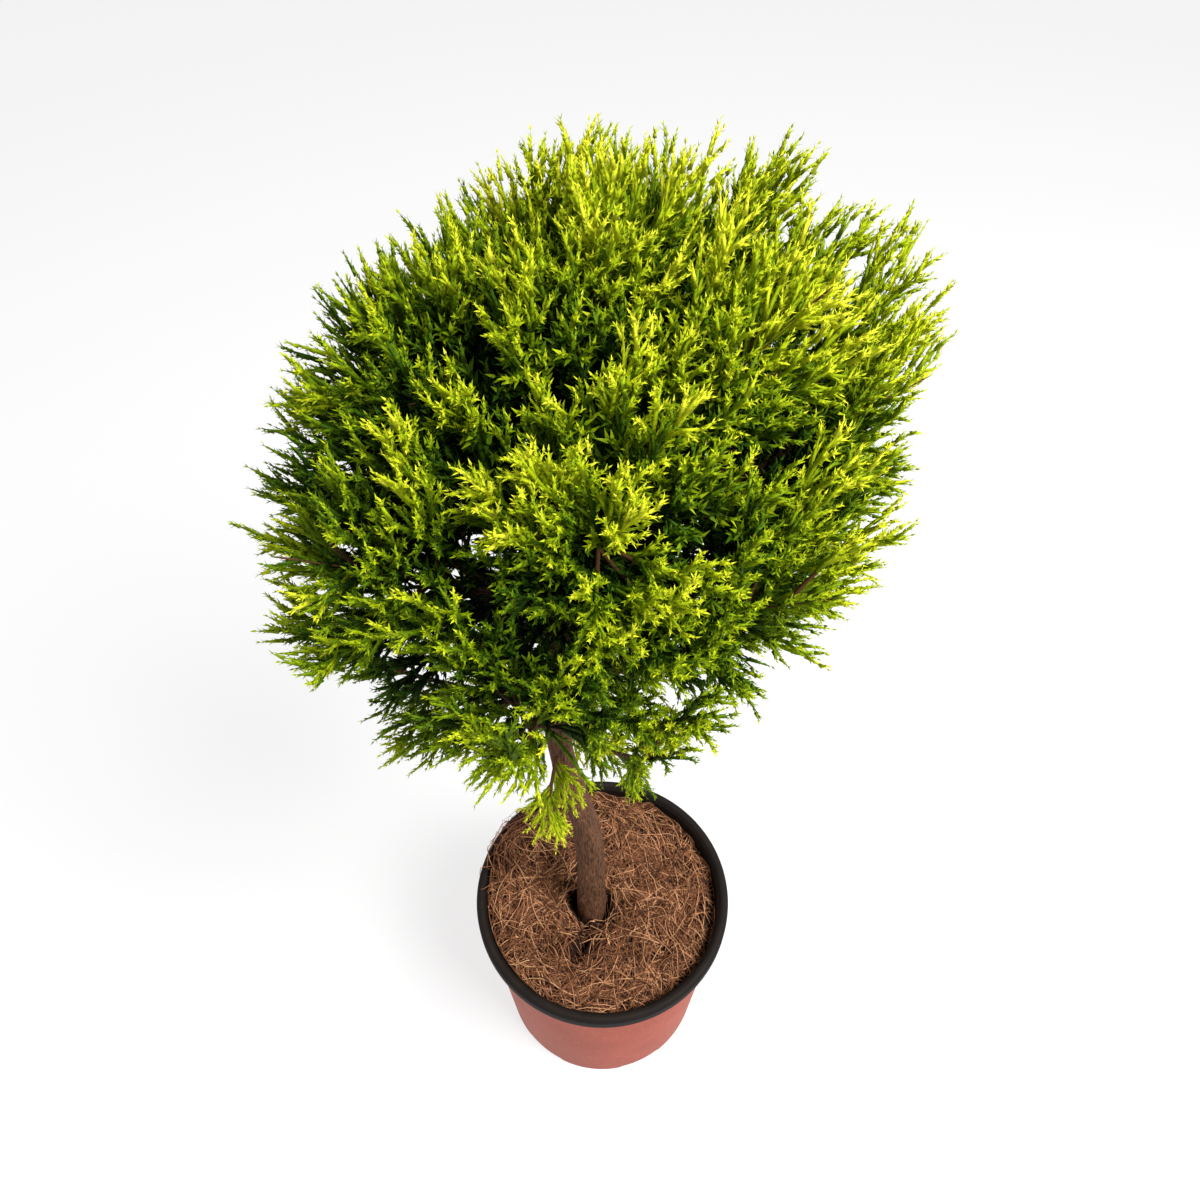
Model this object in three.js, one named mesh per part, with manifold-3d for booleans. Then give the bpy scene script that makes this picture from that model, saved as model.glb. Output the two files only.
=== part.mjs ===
// A golden cypress grown as a standard: a ball of feathery shoots on a clear stem, in a round nursery pot.
//
// Millimetres, +Z up, +X to the plant's right, -Y to its front. The origin is the middle of the pot's
// underside. Pieces: pot, pot_skin, potting_mix, coir_disc, trunk, the boughs, a mass of foliage at the end of
// each bough, the leader at the trunk's end, and a low sprout on the clear stem.
import * as THREE from "three";
import { mergeVertices } from "three/addons/utils/BufferGeometryUtils.js";
import Module from "manifold-3d";

// -------------------------------------------------------------------------------------------------
// Driving dimensions

const GAP = 0.3; // clearance between two pieces that touch
const SLIVER = 0.02; // edges shorter than this are closed up where pieces are joined

// Pot: a black moulded body with a terracotta skin outside it, below the lip
const POT_HEIGHT = 176;
const POT_RIM_RADIUS = 95; // outside of the lip
const POT_FOOT_RADIUS = 81; // outside of the skin at the foot
const POT_NECK_RADIUS = 89.4; // outside of the skin, just under the lip
const SKIN_THICKNESS = 1.0;
const WALL_THICKNESS = 1.6;
const FLOOR_THICKNESS = 2.2;
const LIP_HEIGHT = 13;
const POT_SIDES = 40;
const DRAIN_SLOTS = 6;
const DRAIN_SLOT = { width: 34, height: 2.6, depth: 14, firstAzimuth: 53 }; // feet stand between them

// Filling: moist potting mix, with a slit disc of coconut fibre laid on it round the stem
const MIX_TOP = 156; // height of the ground line
const COIR_THICKNESS = 12;
const COIR_HOLE_RADIUS = 17; // round the trunk
const COIR_SLIT = { width: 3.2, azimuth: -104 }; // degrees from +X
const COIR_TILT = 6.5; // the disc rides up by this much on its left side
const COIR_SWELL = { height: 1.3, x: 0.11, y: 0.13, shift: 1.7 }; // millimetres, and radians a millimetre
const COIR_RIPPLE = { height: 0.9, x: 0.23, y: 0.19 };

// Trunk: a clear stem that sways to the left on its way up, and runs on through the head as its leader
const TRUNK_FOOT = { x: -8.5, y: -7.5, z: MIX_TOP + GAP, radius: 9.9, flare: 1.6, flareHeight: 9 };
const TRUNK_COLLAR = { z: 400, radius: 6.9 }; // where the lowest boughs leave
const TRUNK_TOP = { z: 628, radius: 2.2, leansBack: 20 };
const TRUNK_SWAY = { left: 17, from: 0.2, most: 0.5, back: 15 }; // millimetres, at shares of its height
const TRUNK_FLUTES = { count: 3, depth: 0.05, twist: 0.04 }; // a share of the radius; radians a millimetre
const TRUNK_RINGS = 24;
const TRUNK_SIDES = 10;

// Head: a ball a little wider than it is tall, drawn out along one line, with two hollows in its outline
const HEAD_CENTRE = new THREE.Vector3(-5, 7, 597);
const HEAD_RADII = new THREE.Vector3(121, 123, 115);
const HEAD_DRAWN_OUT = { along: new THREE.Vector3(0.75, 0.55, 0.37), by: 0.26 };
const HEAD_HOLLOWS = [
  { towards: new THREE.Vector3(0.5, 0.66, 0.56), depth: 0.17, width: 0.22 }, // share of the reach; radians
  { towards: new THREE.Vector3(1, 0, 0), depth: 0.1, width: 0.2 },
];
const HEAD_OUTLINE = 1.06; // foliage stays within this share of the ball
const LEADER_TIP = { x: 6, y: 20, share: 1.03 }; // where the trunk's own continuation ends

// Boughs: they leave the trunk in a spiral, the lowest almost level and the highest almost upright
const BOUGHS = 19;
const LOWEST_LATITUDE = -0.66; // sine of the latitude of the lowest bough's tip on the ball
const FIRST_AZIMUTH = 156; // degrees from +X, of the lowest bough
const AZIMUTH_SPREAD = 0.35; // how far the dice turn a bough from its place in the spiral, in radians
const REACH = { least: 0.95, spread: 0.09 }; // of the bough's limb, as a share of the ball's radius
const LEAVES_AT = { low: 408, high: 608, crowding: 1.15 }; // heights on the trunk, closer together low down
const RISE = { low: 0.35, high: 1.5 }; // how steeply a bough leaves, as rise over run
const BEND_AT = 0.45; // where a limb's curve bends, as a share of its span
const BOUGH_SHARE = 0.27; // how much of the way to the ball's edge is bare bough
const BOUGH_RADIUS = { foot: 2.7, tip: 1.5 };
const BOUGH_RINGS = 5;
const BOUGH_SIDES = 5;

// Foliage: each mass is one leading shoot with side shoots, all set with awl-shaped needles in turned pairs
const SIDE_SHOOTS = 7; // of a mass in the head
const SPROUT_SHOOTS = 6; // of the low sprout
const SPROUT_SHORTER = 0.5; // its shoots, as a share of those in the head
const LOW_SPROUT = { height: 380, x: -0.2, y: -0.98, reach: 30, droop: 30, lift: 6 };
const SHOOT_RADIUS = { foot: 1.3, tip: 0.6 };
const SHOOT_LENGTH = { least: 16, most: 70, tries: [1, 0.82, 0.66, 0.5] };
const SHOOT_TAPER = { foot: 1.05, by: 0.45 }; // longer low on a stem and shorter towards its tip
const SHOOT_FOOT = { first: 0.37, from: 0.16, over: 0.78 }; // where side shoots leave, as shares of the stem
const SHOOT_SLANT = { least: 36, spread: 12 }; // degrees
const SHOOT_TURN = { ahead: 0.35, up: 0.1, down: 0.16 }; // of its outer half, in shares of its length
const NEEDLE_OUT = 6.6; // how far a needle stands out of its shoot
const NEEDLE_AHEAD = 7; // how far it leans towards the shoot's tip
const NEEDLES_SHORTEN = 0.35; // by this share, towards the shoot's tip
const WHORL_STEP = 8.4; // distance between two pairs of needles
const SHOOT_POINT = 3; // length of a shoot's bare tip
const CORE = { from: 0.02, to: 0.86, rings: 8, sides: 7, radius: 36, hollow: 0.5, lean: 0.55 };
const CELL_MARGIN = 1.3; // half the clear space between two neighbouring masses
const WOOD_MARGIN = { bough: 0.8, trunk: 1.5, pot: 4 }; // clear space between foliage and the rest
const GOLDEN_ANGLE = Math.PI * (3 - Math.sqrt(5));
const GOLDEN_RATIO = 0.6180339887;

// -------------------------------------------------------------------------------------------------
// Small helpers

const wasm = await Module();
wasm.setup();

const UP = new THREE.Vector3(0, 0, 1);
const radians = THREE.MathUtils.degToRad;
const lerp = THREE.MathUtils.lerp;
const fraction = (x) => x - Math.floor(x);

/** The seeded rule's dice: a number from 0 to 1 that depends only on a and b. */
const roll = (a, b) => fraction(Math.sin(a * 127.1 + b * 311.7 + 74.7) * 43758.5453);

function solidOf(geometry) {
  const bare = geometry.clone();
  for (const name of Object.keys(bare.attributes)) if (name !== "position") bare.deleteAttribute(name);
  const merged = mergeVertices(bare, 1e-4);
  return new wasm.Manifold(
    new wasm.Mesh({
      numProp: 3,
      vertProperties: new Float32Array(merged.attributes.position.array),
      triVerts: new Uint32Array(merged.index.array),
    }),
  );
}

/** Several solids joined into one body, with any hollow that the joining sealed filled in. */
function fused(solids) {
  const bodies = solids.reduce((all, one) => all.add(one)).simplify(SLIVER).decompose();
  return bodies.reduce((largest, body) => (body.volume() > largest.volume() ? body : largest));
}

function geometryOf(solid) {
  const mesh = solid.getMesh();
  const geometry = new THREE.BufferGeometry();
  geometry.setAttribute("position", new THREE.BufferAttribute(Float32Array.from(mesh.vertProperties), 3));
  geometry.setIndex(new THREE.BufferAttribute(Uint32Array.from(mesh.triVerts), 1));
  geometry.computeVertexNormals();
  return geometry;
}

/** A profile of [radius, height] pairs turned round the Z axis. */
function turned(profile, sides) {
  const points = profile.map(([radius, height]) => new THREE.Vector2(radius, height));
  return new THREE.LatheGeometry(points, sides).rotateX(Math.PI / 2);
}

/**
 * A rod swept along a curve, closed by a fan at each end. cornerAt gives each corner's { out, lean }: its
 * distance from the curve, and how far it is pushed on along the curve. A pointed rod's last fan is drawn out
 * to a tip. The rings stand square to the curve, or level if asked for.
 */
function sweptRod(curve, { rings, sides, cornerAt, pointed = 0, level = false }) {
  const frames = level ? levelFrames(rings + 1) : curve.computeFrenetFrames(rings, false);
  const positions = [];
  const distances = [];
  for (let ring = 0; ring <= rings; ring += 1) {
    const along = ring / rings;
    const centre = curve.getPointAt(along);
    const ahead = frames.tangents[ring];
    for (let side = 0; side < sides; side += 1) {
      const turn = (2 * Math.PI * side) / sides;
      const outward = new THREE.Vector3()
        .addScaledVector(frames.normals[ring], Math.cos(turn))
        .addScaledVector(frames.binormals[ring], Math.sin(turn));
      const { out, lean } = cornerAt({ ring, side, along, centre, outward, ahead });
      distances.push(out);
      positions.push(...centre.clone().addScaledVector(outward, out).addScaledVector(ahead, lean).toArray());
    }
  }
  const index = [];
  for (let ring = 0; ring < rings; ring += 1) {
    for (let side = 0; side < sides; side += 1) {
      const next = (side + 1) % sides;
      const [a, b] = [ring * sides + side, ring * sides + next];
      const [c, d] = [a + sides, b + sides];
      if (distances[a] + distances[d] <= distances[b] + distances[c]) index.push(a, b, d, a, d, c);
      else index.push(a, b, c, b, d, c);
    }
  }
  const first = positions.length / 3;
  const end = curve.getPointAt(1).addScaledVector(frames.tangents[rings], pointed);
  positions.push(...curve.getPointAt(0).toArray(), ...end.toArray());
  const top = rings * sides;
  for (let side = 0; side < sides; side += 1) {
    const next = (side + 1) % sides;
    index.push(first, next, side, top + side, top + next, first + 1);
  }
  const geometry = new THREE.BufferGeometry();
  geometry.setAttribute("position", new THREE.BufferAttribute(new Float32Array(positions), 3));
  geometry.setIndex(index);
  geometry.computeVertexNormals();
  return geometry;
}

const levelFrames = (count) => ({
  normals: Array(count).fill(new THREE.Vector3(1, 0, 0)),
  binormals: Array(count).fill(new THREE.Vector3(0, 1, 0)),
  tangents: Array(count).fill(UP),
});

/** A plain round limb between two radii. */
function taperedLimb(curve, rings, sides, radius) {
  const cornerAt = ({ along }) => ({ out: lerp(radius.foot, radius.tip, along), lean: 0 });
  return sweptRod(curve, { rings, sides, cornerAt });
}

// -------------------------------------------------------------------------------------------------
// Pot

/** Outside radius of the black wall at a height. */
const wallRadius = (z) =>
  lerp(POT_FOOT_RADIUS, POT_NECK_RADIUS, z / (POT_HEIGHT - LIP_HEIGHT)) - SKIN_THICKNESS - GAP;

/** The wedges that open the foot of the pot for drainage. */
function drainSlots() {
  const cutters = [];
  for (let k = 0; k < DRAIN_SLOTS; k += 1) {
    const box = new THREE.BoxGeometry(2 * DRAIN_SLOT.depth, DRAIN_SLOT.width, 2 * DRAIN_SLOT.height);
    box.translate(POT_FOOT_RADIUS, 0, 0).rotateZ(radians(DRAIN_SLOT.firstAzimuth + (k * 360) / DRAIN_SLOTS));
    cutters.push(solidOf(box));
  }
  return cutters.reduce((all, one) => all.add(one));
}

function potGeometry() {
  const under = POT_HEIGHT - LIP_HEIGHT;
  const inner = (z) => wallRadius(z) - WALL_THICKNESS;
  const profile = [
    [0, 0],
    [wallRadius(0) - 1.5, 0],
    [wallRadius(0), 1.5],
    [wallRadius(under + 2), under + 2],
    [POT_RIM_RADIUS - 1.4, under],
    [POT_RIM_RADIUS, under + 1.6],
    [POT_RIM_RADIUS, POT_HEIGHT - 3],
    [POT_RIM_RADIUS - 1.6, POT_HEIGHT - 0.5],
    [POT_RIM_RADIUS - 3.4, POT_HEIGHT],
    [POT_RIM_RADIUS - 5.6, POT_HEIGHT - 0.6],
    [inner(POT_HEIGHT - 4), POT_HEIGHT - 4],
    [inner(FLOOR_THICKNESS), FLOOR_THICKNESS],
    [0, FLOOR_THICKNESS],
  ];
  return geometryOf(solidOf(turned(profile, POT_SIDES)).subtract(drainSlots()));
}

function potSkinGeometry() {
  const foot = 0.6;
  const top = POT_HEIGHT - LIP_HEIGHT - 0.4;
  const profile = [
    [wallRadius(foot) + GAP, foot],
    [wallRadius(foot) + GAP + SKIN_THICKNESS, foot],
    [wallRadius(top) + GAP + SKIN_THICKNESS, top],
    [wallRadius(top) + GAP, top],
    [wallRadius(foot) + GAP, foot],
  ];
  return geometryOf(solidOf(turned(profile, POT_SIDES)).subtract(drainSlots()));
}

// -------------------------------------------------------------------------------------------------
// Filling

function pottingMixGeometry() {
  const inner = (z) => wallRadius(z) - WALL_THICKNESS - 2 * GAP;
  const foot = FLOOR_THICKNESS + GAP;
  return turned([[0, foot], [inner(foot), foot], [inner(MIX_TOP), MIX_TOP], [0, MIX_TOP]], 32);
}

/** Lumpy relief of the fibre: one broad swell crossed with another, and a finer slanting one. */
const coirRelief = (x, y) =>
  COIR_SWELL.height * Math.sin(x * COIR_SWELL.x + COIR_SWELL.shift) * Math.cos(y * COIR_SWELL.y) +
  COIR_RIPPLE.height * Math.sin(x * COIR_RIPPLE.x - y * COIR_RIPPLE.y);

function coirDiscGeometry() {
  const foot = MIX_TOP + GAP;
  const edge = wallRadius(foot) - WALL_THICKNESS - 1.2;
  const thick = COIR_THICKNESS;
  const profile = [
    [0, foot],
    [edge, foot],
    [edge + 0.6, foot + 0.5 * thick],
    [edge - 3, foot + 0.85 * thick],
    [edge - 12, foot + thick],
    [0.68 * edge, foot + 1.08 * thick],
    [0.42 * edge, foot + 1.05 * thick],
    [0, foot + thick],
  ];
  const disc = turned(profile, 28);
  const position = disc.attributes.position;
  for (let i = 0; i < position.count; i += 1) {
    const [x, y, z] = [position.getX(i), position.getY(i), position.getZ(i)];
    const risen = Math.min(1, (z - foot) / thick);
    position.setZ(i, z + risen * (coirRelief(x, y) - (COIR_TILT * x) / edge));
  }
  const hole = new THREE.CylinderGeometry(COIR_HOLE_RADIUS, COIR_HOLE_RADIUS, 6 * thick, 16);
  hole.rotateX(Math.PI / 2).translate(TRUNK_FOOT.x, TRUNK_FOOT.y, foot);
  const slit = new THREE.BoxGeometry(POT_RIM_RADIUS, COIR_SLIT.width, 6 * thick);
  slit.translate(0.5 * POT_RIM_RADIUS, 0, 0).rotateZ(radians(COIR_SLIT.azimuth));
  slit.translate(TRUNK_FOOT.x, TRUNK_FOOT.y, foot);
  return geometryOf(solidOf(disc).subtract(solidOf(hole)).subtract(solidOf(slit)));
}

// -------------------------------------------------------------------------------------------------
// Trunk and boughs

/** The middle of the trunk at a height: it leans back evenly, sways left and returns part of the way. */
function trunkCentre(z) {
  const share = (z - TRUNK_FOOT.z) / (TRUNK_TOP.z - TRUNK_FOOT.z);
  const left = TRUNK_SWAY.left * THREE.MathUtils.smoothstep(share, TRUNK_SWAY.from, TRUNK_SWAY.most);
  const back = TRUNK_SWAY.back * THREE.MathUtils.smoothstep(share, TRUNK_SWAY.most, 1);
  return new THREE.Vector3(TRUNK_FOOT.x - left + back, TRUNK_FOOT.y + TRUNK_TOP.leansBack * share, z);
}

/** Trunk radius at a height: a short root flare, a slow taper to the collar and a quicker one above. */
function trunkRadius(z) {
  const flare = TRUNK_FOOT.flare * Math.exp((TRUNK_FOOT.z - z) / TRUNK_FOOT.flareHeight);
  const toCollar = (z - TRUNK_FOOT.z) / (TRUNK_COLLAR.z - TRUNK_FOOT.z);
  if (toCollar < 1) return lerp(TRUNK_FOOT.radius, TRUNK_COLLAR.radius, toCollar) + flare;
  return lerp(TRUNK_COLLAR.radius, TRUNK_TOP.radius, (z - TRUNK_COLLAR.z) / (TRUNK_TOP.z - TRUNK_COLLAR.z));
}

class TrunkCurve extends THREE.Curve {
  getPoint(share) {
    return trunkCentre(lerp(TRUNK_FOOT.z, TRUNK_TOP.z, share));
  }
}
const trunkCurve = new TrunkCurve();

const fluteTurn = (side, z) =>
  (TRUNK_FLUTES.count * 2 * Math.PI * side) / TRUNK_SIDES + TRUNK_FLUTES.twist * z;

function trunkGeometry() {
  const cornerAt = ({ side, centre }) => ({
    out: trunkRadius(centre.z) * (1 + TRUNK_FLUTES.depth * Math.sin(fluteTurn(side, centre.z))),
    lean: 0,
  });
  return sweptRod(trunkCurve, { rings: TRUNK_RINGS, sides: TRUNK_SIDES, cornerAt, level: true });
}

/** How far the head reaches in a direction, as a share of its radii. */
function headReach(direction) {
  let reach = 1 + HEAD_DRAWN_OUT.by * direction.dot(HEAD_DRAWN_OUT.along) ** 2;
  for (const { towards, depth, width } of HEAD_HOLLOWS) {
    reach -= depth * Math.exp(-((direction.angleTo(towards) / width) ** 2));
  }
  return reach;
}

/** The limb that carries mass k: a curve from the trunk to the head's edge, rising as it goes out. */
function limbCurve(k) {
  const share = (k + 0.5) / (BOUGHS + 1);
  const latitude = lerp(LOWEST_LATITUDE, 1, share);
  const azimuth = radians(FIRST_AZIMUTH) + k * GOLDEN_ANGLE + AZIMUTH_SPREAD * (roll(k, 1) - 0.5);
  const across = Math.sqrt(Math.max(0, 1 - latitude * latitude));
  const direction = new THREE.Vector3(across * Math.cos(azimuth), across * Math.sin(azimuth), latitude);
  const reach = headReach(direction) * (REACH.least + REACH.spread * roll(k, 2));
  const tip = direction.clone().multiply(HEAD_RADII).multiplyScalar(reach).add(HEAD_CENTRE);
  const height = lerp(LEAVES_AT.low, LEAVES_AT.high, share ** LEAVES_AT.crowding);
  const root = trunkCentre(height);
  const heading = new THREE.Vector3(tip.x - root.x, tip.y - root.y, 0).normalize();
  const rise = lerp(RISE.low, RISE.high, share);
  const leaving = heading.clone().addScaledVector(UP, rise).normalize();
  const tilt = leaving.z * BOUGH_RADIUS.foot;
  root.addScaledVector(heading, trunkRadius(height) + GAP + tilt);
  const span = root.distanceTo(tip);
  const bend = root.clone().addScaledVector(leaving, BEND_AT * span);
  return new THREE.QuadraticBezierCurve3(root, bend, tip);
}

/** The stretch of a limb between two shares of its length. */
function stretch(curve, from, to) {
  const points = [];
  const steps = 8;
  for (let i = 0; i <= steps; i += 1) points.push(curve.getPointAt(lerp(from, to, i / steps)));
  return new THREE.CatmullRomCurve3(points);
}

// -------------------------------------------------------------------------------------------------
// Foliage

const STEM_GAP = 2 * GAP; // a mass's stem starts this far past its bough's tip

/** Every limb of the tree: the curve to a mass, where its bare bough ends, and the mass's own stretch. */
const limbs = [];
for (let k = 0; k < BOUGHS; k += 1) {
  const curve = limbCurve(k);
  const length = curve.getLength();
  limbs.push({
    name: String(k + 1).padStart(2, "0"),
    seed: k,
    bough: stretch(curve, 0, BOUGH_SHARE),
    stem: stretch(curve, BOUGH_SHARE + STEM_GAP / length, 1),
  });
}

/** The leader is the trunk's own continuation, and a short shoot hangs from the stem below the head. */
const leaderTop = HEAD_CENTRE.z + HEAD_RADII.z * LEADER_TIP.share;
const leaderTip = new THREE.Vector3(LEADER_TIP.x, LEADER_TIP.y, leaderTop);
const leaderFoot = trunkCentre(TRUNK_TOP.z).addScaledVector(UP, STEM_GAP);
const LEADER_RISE = 30; // it goes straight up this far before it leans to its tip
const leaderBend = leaderFoot.clone().addScaledVector(UP, LEADER_RISE);
limbs.push({
  name: "leader",
  seed: 40,
  bough: null,
  stem: new THREE.QuadraticBezierCurve3(leaderFoot, leaderBend, leaderTip),
});

function lowSprout() {
  const foot = trunkCentre(LOW_SPROUT.height);
  const heading = new THREE.Vector3(LOW_SPROUT.x, LOW_SPROUT.y, 0).normalize();
  foot.addScaledVector(heading, trunkRadius(LOW_SPROUT.height) + STEM_GAP);
  const bend = foot.clone().addScaledVector(heading, 0.6 * LOW_SPROUT.reach);
  bend.addScaledVector(UP, LOW_SPROUT.lift);
  const tip = foot.clone().addScaledVector(heading, LOW_SPROUT.reach).addScaledVector(UP, -LOW_SPROUT.droop);
  const stem = new THREE.QuadraticBezierCurve3(foot, bend, tip);
  return { name: "low_sprout", seed: 60, bough: null, stem };
}
limbs.push(lowSprout());

const AXIS_STEPS = 12;
for (const limb of limbs) limb.axis = limb.stem.getSpacedPoints(AXIS_STEPS);

/** Distance from a point to a chain of points. */
const segment = new THREE.Line3();
const nearest = new THREE.Vector3();
function distanceToChain(point, chain) {
  let least = Infinity;
  for (let i = 0; i + 1 < chain.length; i += 1) {
    segment.set(chain[i], chain[i + 1]).closestPointToPoint(point, true, nearest);
    least = Math.min(least, nearest.distanceToSquared(point));
  }
  return Math.sqrt(least);
}

const boughChains = limbs.filter((limb) => limb.bough).map((limb) => limb.bough.getSpacedPoints(6));
const trunkChain = trunkCurve.getSpacedPoints(TRUNK_RINGS);

/** Whether a limb's mass may use a point: nearer to its own axis than to others, and clear of all wood. */
function isFree(point, limb) {
  if (point.z < POT_HEIGHT + WOOD_MARGIN.pot) return false;
  const own = distanceToChain(point, limb.axis);
  for (const other of limbs) {
    if (other !== limb && distanceToChain(point, other.axis) < own + 2 * CELL_MARGIN) return false;
  }
  for (const chain of boughChains) {
    if (distanceToChain(point, chain) < BOUGH_RADIUS.foot + WOOD_MARGIN.bough) return false;
  }
  const bark = trunkRadius(Math.min(point.z, TRUNK_TOP.z));
  return distanceToChain(point, trunkChain) > bark + WOOD_MARGIN.trunk;
}

/** Whether a point lies inside the head's ball. */
function isInHead(point) {
  const offset = point.clone().sub(HEAD_CENTRE).divide(HEAD_RADII);
  const size = offset.length();
  return size <= HEAD_OUTLINE * headReach(offset.divideScalar(size || 1));
}

function everyCorner(geometry, test) {
  const position = geometry.attributes.position;
  const point = new THREE.Vector3();
  for (let i = 0; i < position.count; i += 1) {
    if (!test(point.fromBufferAttribute(position, i))) return false;
  }
  return true;
}

const OFF_AXIS = new THREE.Vector3(0.3, 0.5, 0.81); // any direction that no stem grows in

/** Side shoot j of a limb at a length: a curve that leaves the stem at a slant and turns up to the light. */
function shootCurve(limb, j, length) {
  const place = fraction(SHOOT_FOOT.first + j * GOLDEN_RATIO + roll(limb.seed, 9));
  const along = SHOOT_FOOT.from + SHOOT_FOOT.over * place;
  const turn = j * GOLDEN_ANGLE + 2 * Math.PI * roll(limb.seed, 5);
  const foot = limb.stem.getPointAt(along);
  const ahead = limb.stem.getTangentAt(along);
  const side = new THREE.Vector3().crossVectors(ahead, OFF_AXIS).normalize().applyAxisAngle(ahead, turn);
  const slant = radians(SHOOT_SLANT.least + SHOOT_SLANT.spread * roll(limb.seed, 20 + j));
  const leaving = ahead.clone().multiplyScalar(Math.cos(slant)).addScaledVector(side, Math.sin(slant));
  const bend = foot.clone().addScaledVector(leaving, 0.5 * length);
  const swung = leaving.clone().addScaledVector(ahead, SHOOT_TURN.ahead).normalize();
  const tip = bend.clone().addScaledVector(swung, 0.5 * length);
  tip.addScaledVector(UP, (limb.name === "low_sprout" ? -SHOOT_TURN.down : SHOOT_TURN.up) * length);
  return { curve: new THREE.QuadraticBezierCurve3(foot, bend, tip), along };
}

/** A three-sided shoot with pairs of needles that lean ahead, in rows that wind round it. */
function needledShoot(curve, length) {
  const rings = Math.max(4, Math.round(length / WHORL_STEP));
  const cornerAt = ({ ring, side, along }) => {
    const bare = lerp(SHOOT_RADIUS.foot, SHOOT_RADIUS.tip, along);
    if (ring === 0 || ring === rings || (ring + side) % 3 === 0) return { out: bare, lean: 0 };
    const size = 1 - NEEDLES_SHORTEN * along;
    return { out: bare + NEEDLE_OUT * size, lean: NEEDLE_AHEAD * size };
  };
  return sweptRod(curve, { rings, sides: 3, cornerAt, pointed: SHOOT_POINT });
}

/**
 * The dense old foliage round a mass's stem: a spindle whose corners stand out ahead and fall back by turns,
 * as tufts do. Each corner is drawn in until it lies in the mass's own space.
 */
function coreGeometry(limb) {
  const fullness = (along) => Math.sin(Math.PI * (0.08 + 0.8 * along)) ** 0.8;
  const cornerAt = ({ ring, side, along, centre, outward, ahead }) => {
    const isTuft = (ring + side) % 2 === 0;
    const most = 1.6 + CORE.radius * fullness(along) * (isTuft ? 1 : CORE.hollow);
    const lean = isTuft && ring < CORE.rings ? CORE.lean : 0;
    const isClear = (out) =>
      isFree(centre.clone().addScaledVector(outward, out * 1.06).addScaledVector(ahead, out * lean), limb);
    let out = most;
    while (out > 2 && !isClear(out)) out *= 0.9;
    return { out, lean: out * lean };
  };
  const middle = stretch(limb.stem, CORE.from, CORE.to);
  return sweptRod(middle, { rings: CORE.rings, sides: CORE.sides, cornerAt });
}

/** One mass: its stem, its core of old foliage, and every side shoot that finds room. */
function massSolid(limb) {
  const isSprout = limb.name === "low_sprout";
  const solids = [solidOf(needledShoot(limb.stem, limb.stem.getLength()))];
  if (!isSprout) solids.push(solidOf(coreGeometry(limb)));
  for (let j = 0; j < (isSprout ? SPROUT_SHOOTS : SIDE_SHOOTS); j += 1) {
    const full = SHOOT_LENGTH.most * (isSprout ? SPROUT_SHORTER : 1);
    const most = full * (SHOOT_TAPER.foot - SHOOT_TAPER.by * shootCurve(limb, j, full).along);
    for (const share of SHOOT_LENGTH.tries) {
      if (most * share < SHOOT_LENGTH.least) break;
      const shoot = needledShoot(shootCurve(limb, j, most * share).curve, most * share);
      if (everyCorner(shoot, (point) => (isSprout || isInHead(point)) && isFree(point, limb))) {
        solids.push(solidOf(shoot));
        break;
      }
    }
  }
  return fused(solids);
}

// -------------------------------------------------------------------------------------------------
// The tree

const black = new THREE.MeshStandardMaterial({ color: 0x2c2423, roughness: 0.55, metalness: 0 });
const terracotta = new THREE.MeshStandardMaterial({ color: 0xbf7662, roughness: 0.5, metalness: 0 });
const mix = new THREE.MeshStandardMaterial({ color: 0x2b1d14, roughness: 1, metalness: 0 });
const coir = new THREE.MeshStandardMaterial({ color: 0x7c533a, roughness: 0.95, metalness: 0 });
const bark = new THREE.MeshStandardMaterial({ color: 0x61402a, roughness: 0.9, metalness: 0 });
const gold = new THREE.MeshStandardMaterial({ color: 0x9fae1c, roughness: 0.6, metalness: 0 });
const green = new THREE.MeshStandardMaterial({ color: 0x4f6a1a, roughness: 0.6, metalness: 0 });

const tree = new THREE.Group();
function place(name, geometry, material) {
  const mesh = new THREE.Mesh(geometry, material);
  mesh.name = name;
  tree.add(mesh);
}

place("pot", potGeometry(), black);
place("pot_skin", potSkinGeometry(), terracotta);
place("potting_mix", pottingMixGeometry(), mix);
place("coir_disc", coirDiscGeometry(), coir);
place("trunk", trunkGeometry(), bark);
for (const limb of limbs) {
  if (limb.bough) {
    place(`bough_${limb.name}`, taperedLimb(limb.bough, BOUGH_RINGS, BOUGH_SIDES, BOUGH_RADIUS), bark);
  }
  const isLow = limb.axis.at(-1).z < HEAD_CENTRE.z;
  place(`foliage_${limb.name}`, geometryOf(massSolid(limb)), isLow ? green : gold);
}

export default tree;
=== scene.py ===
# %% [markdown]
# # A golden cypress standard in its nursery pot
#
# A standard is a small tree that a grower has trained to one clear stem with a ball of foliage on top. This one is
# a golden cypress with soft, feathery young foliage. It stands in a two-coloured pot under a mat of coconut fibre.
# The solids from the CAD step give every size. This lesson dresses them: it grows the boughs on into fine twigs
# and needles by the rule that placed the solids, and gives bark, fibre and plastic their finish.

# %% The frame from the CAD step
import math

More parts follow.
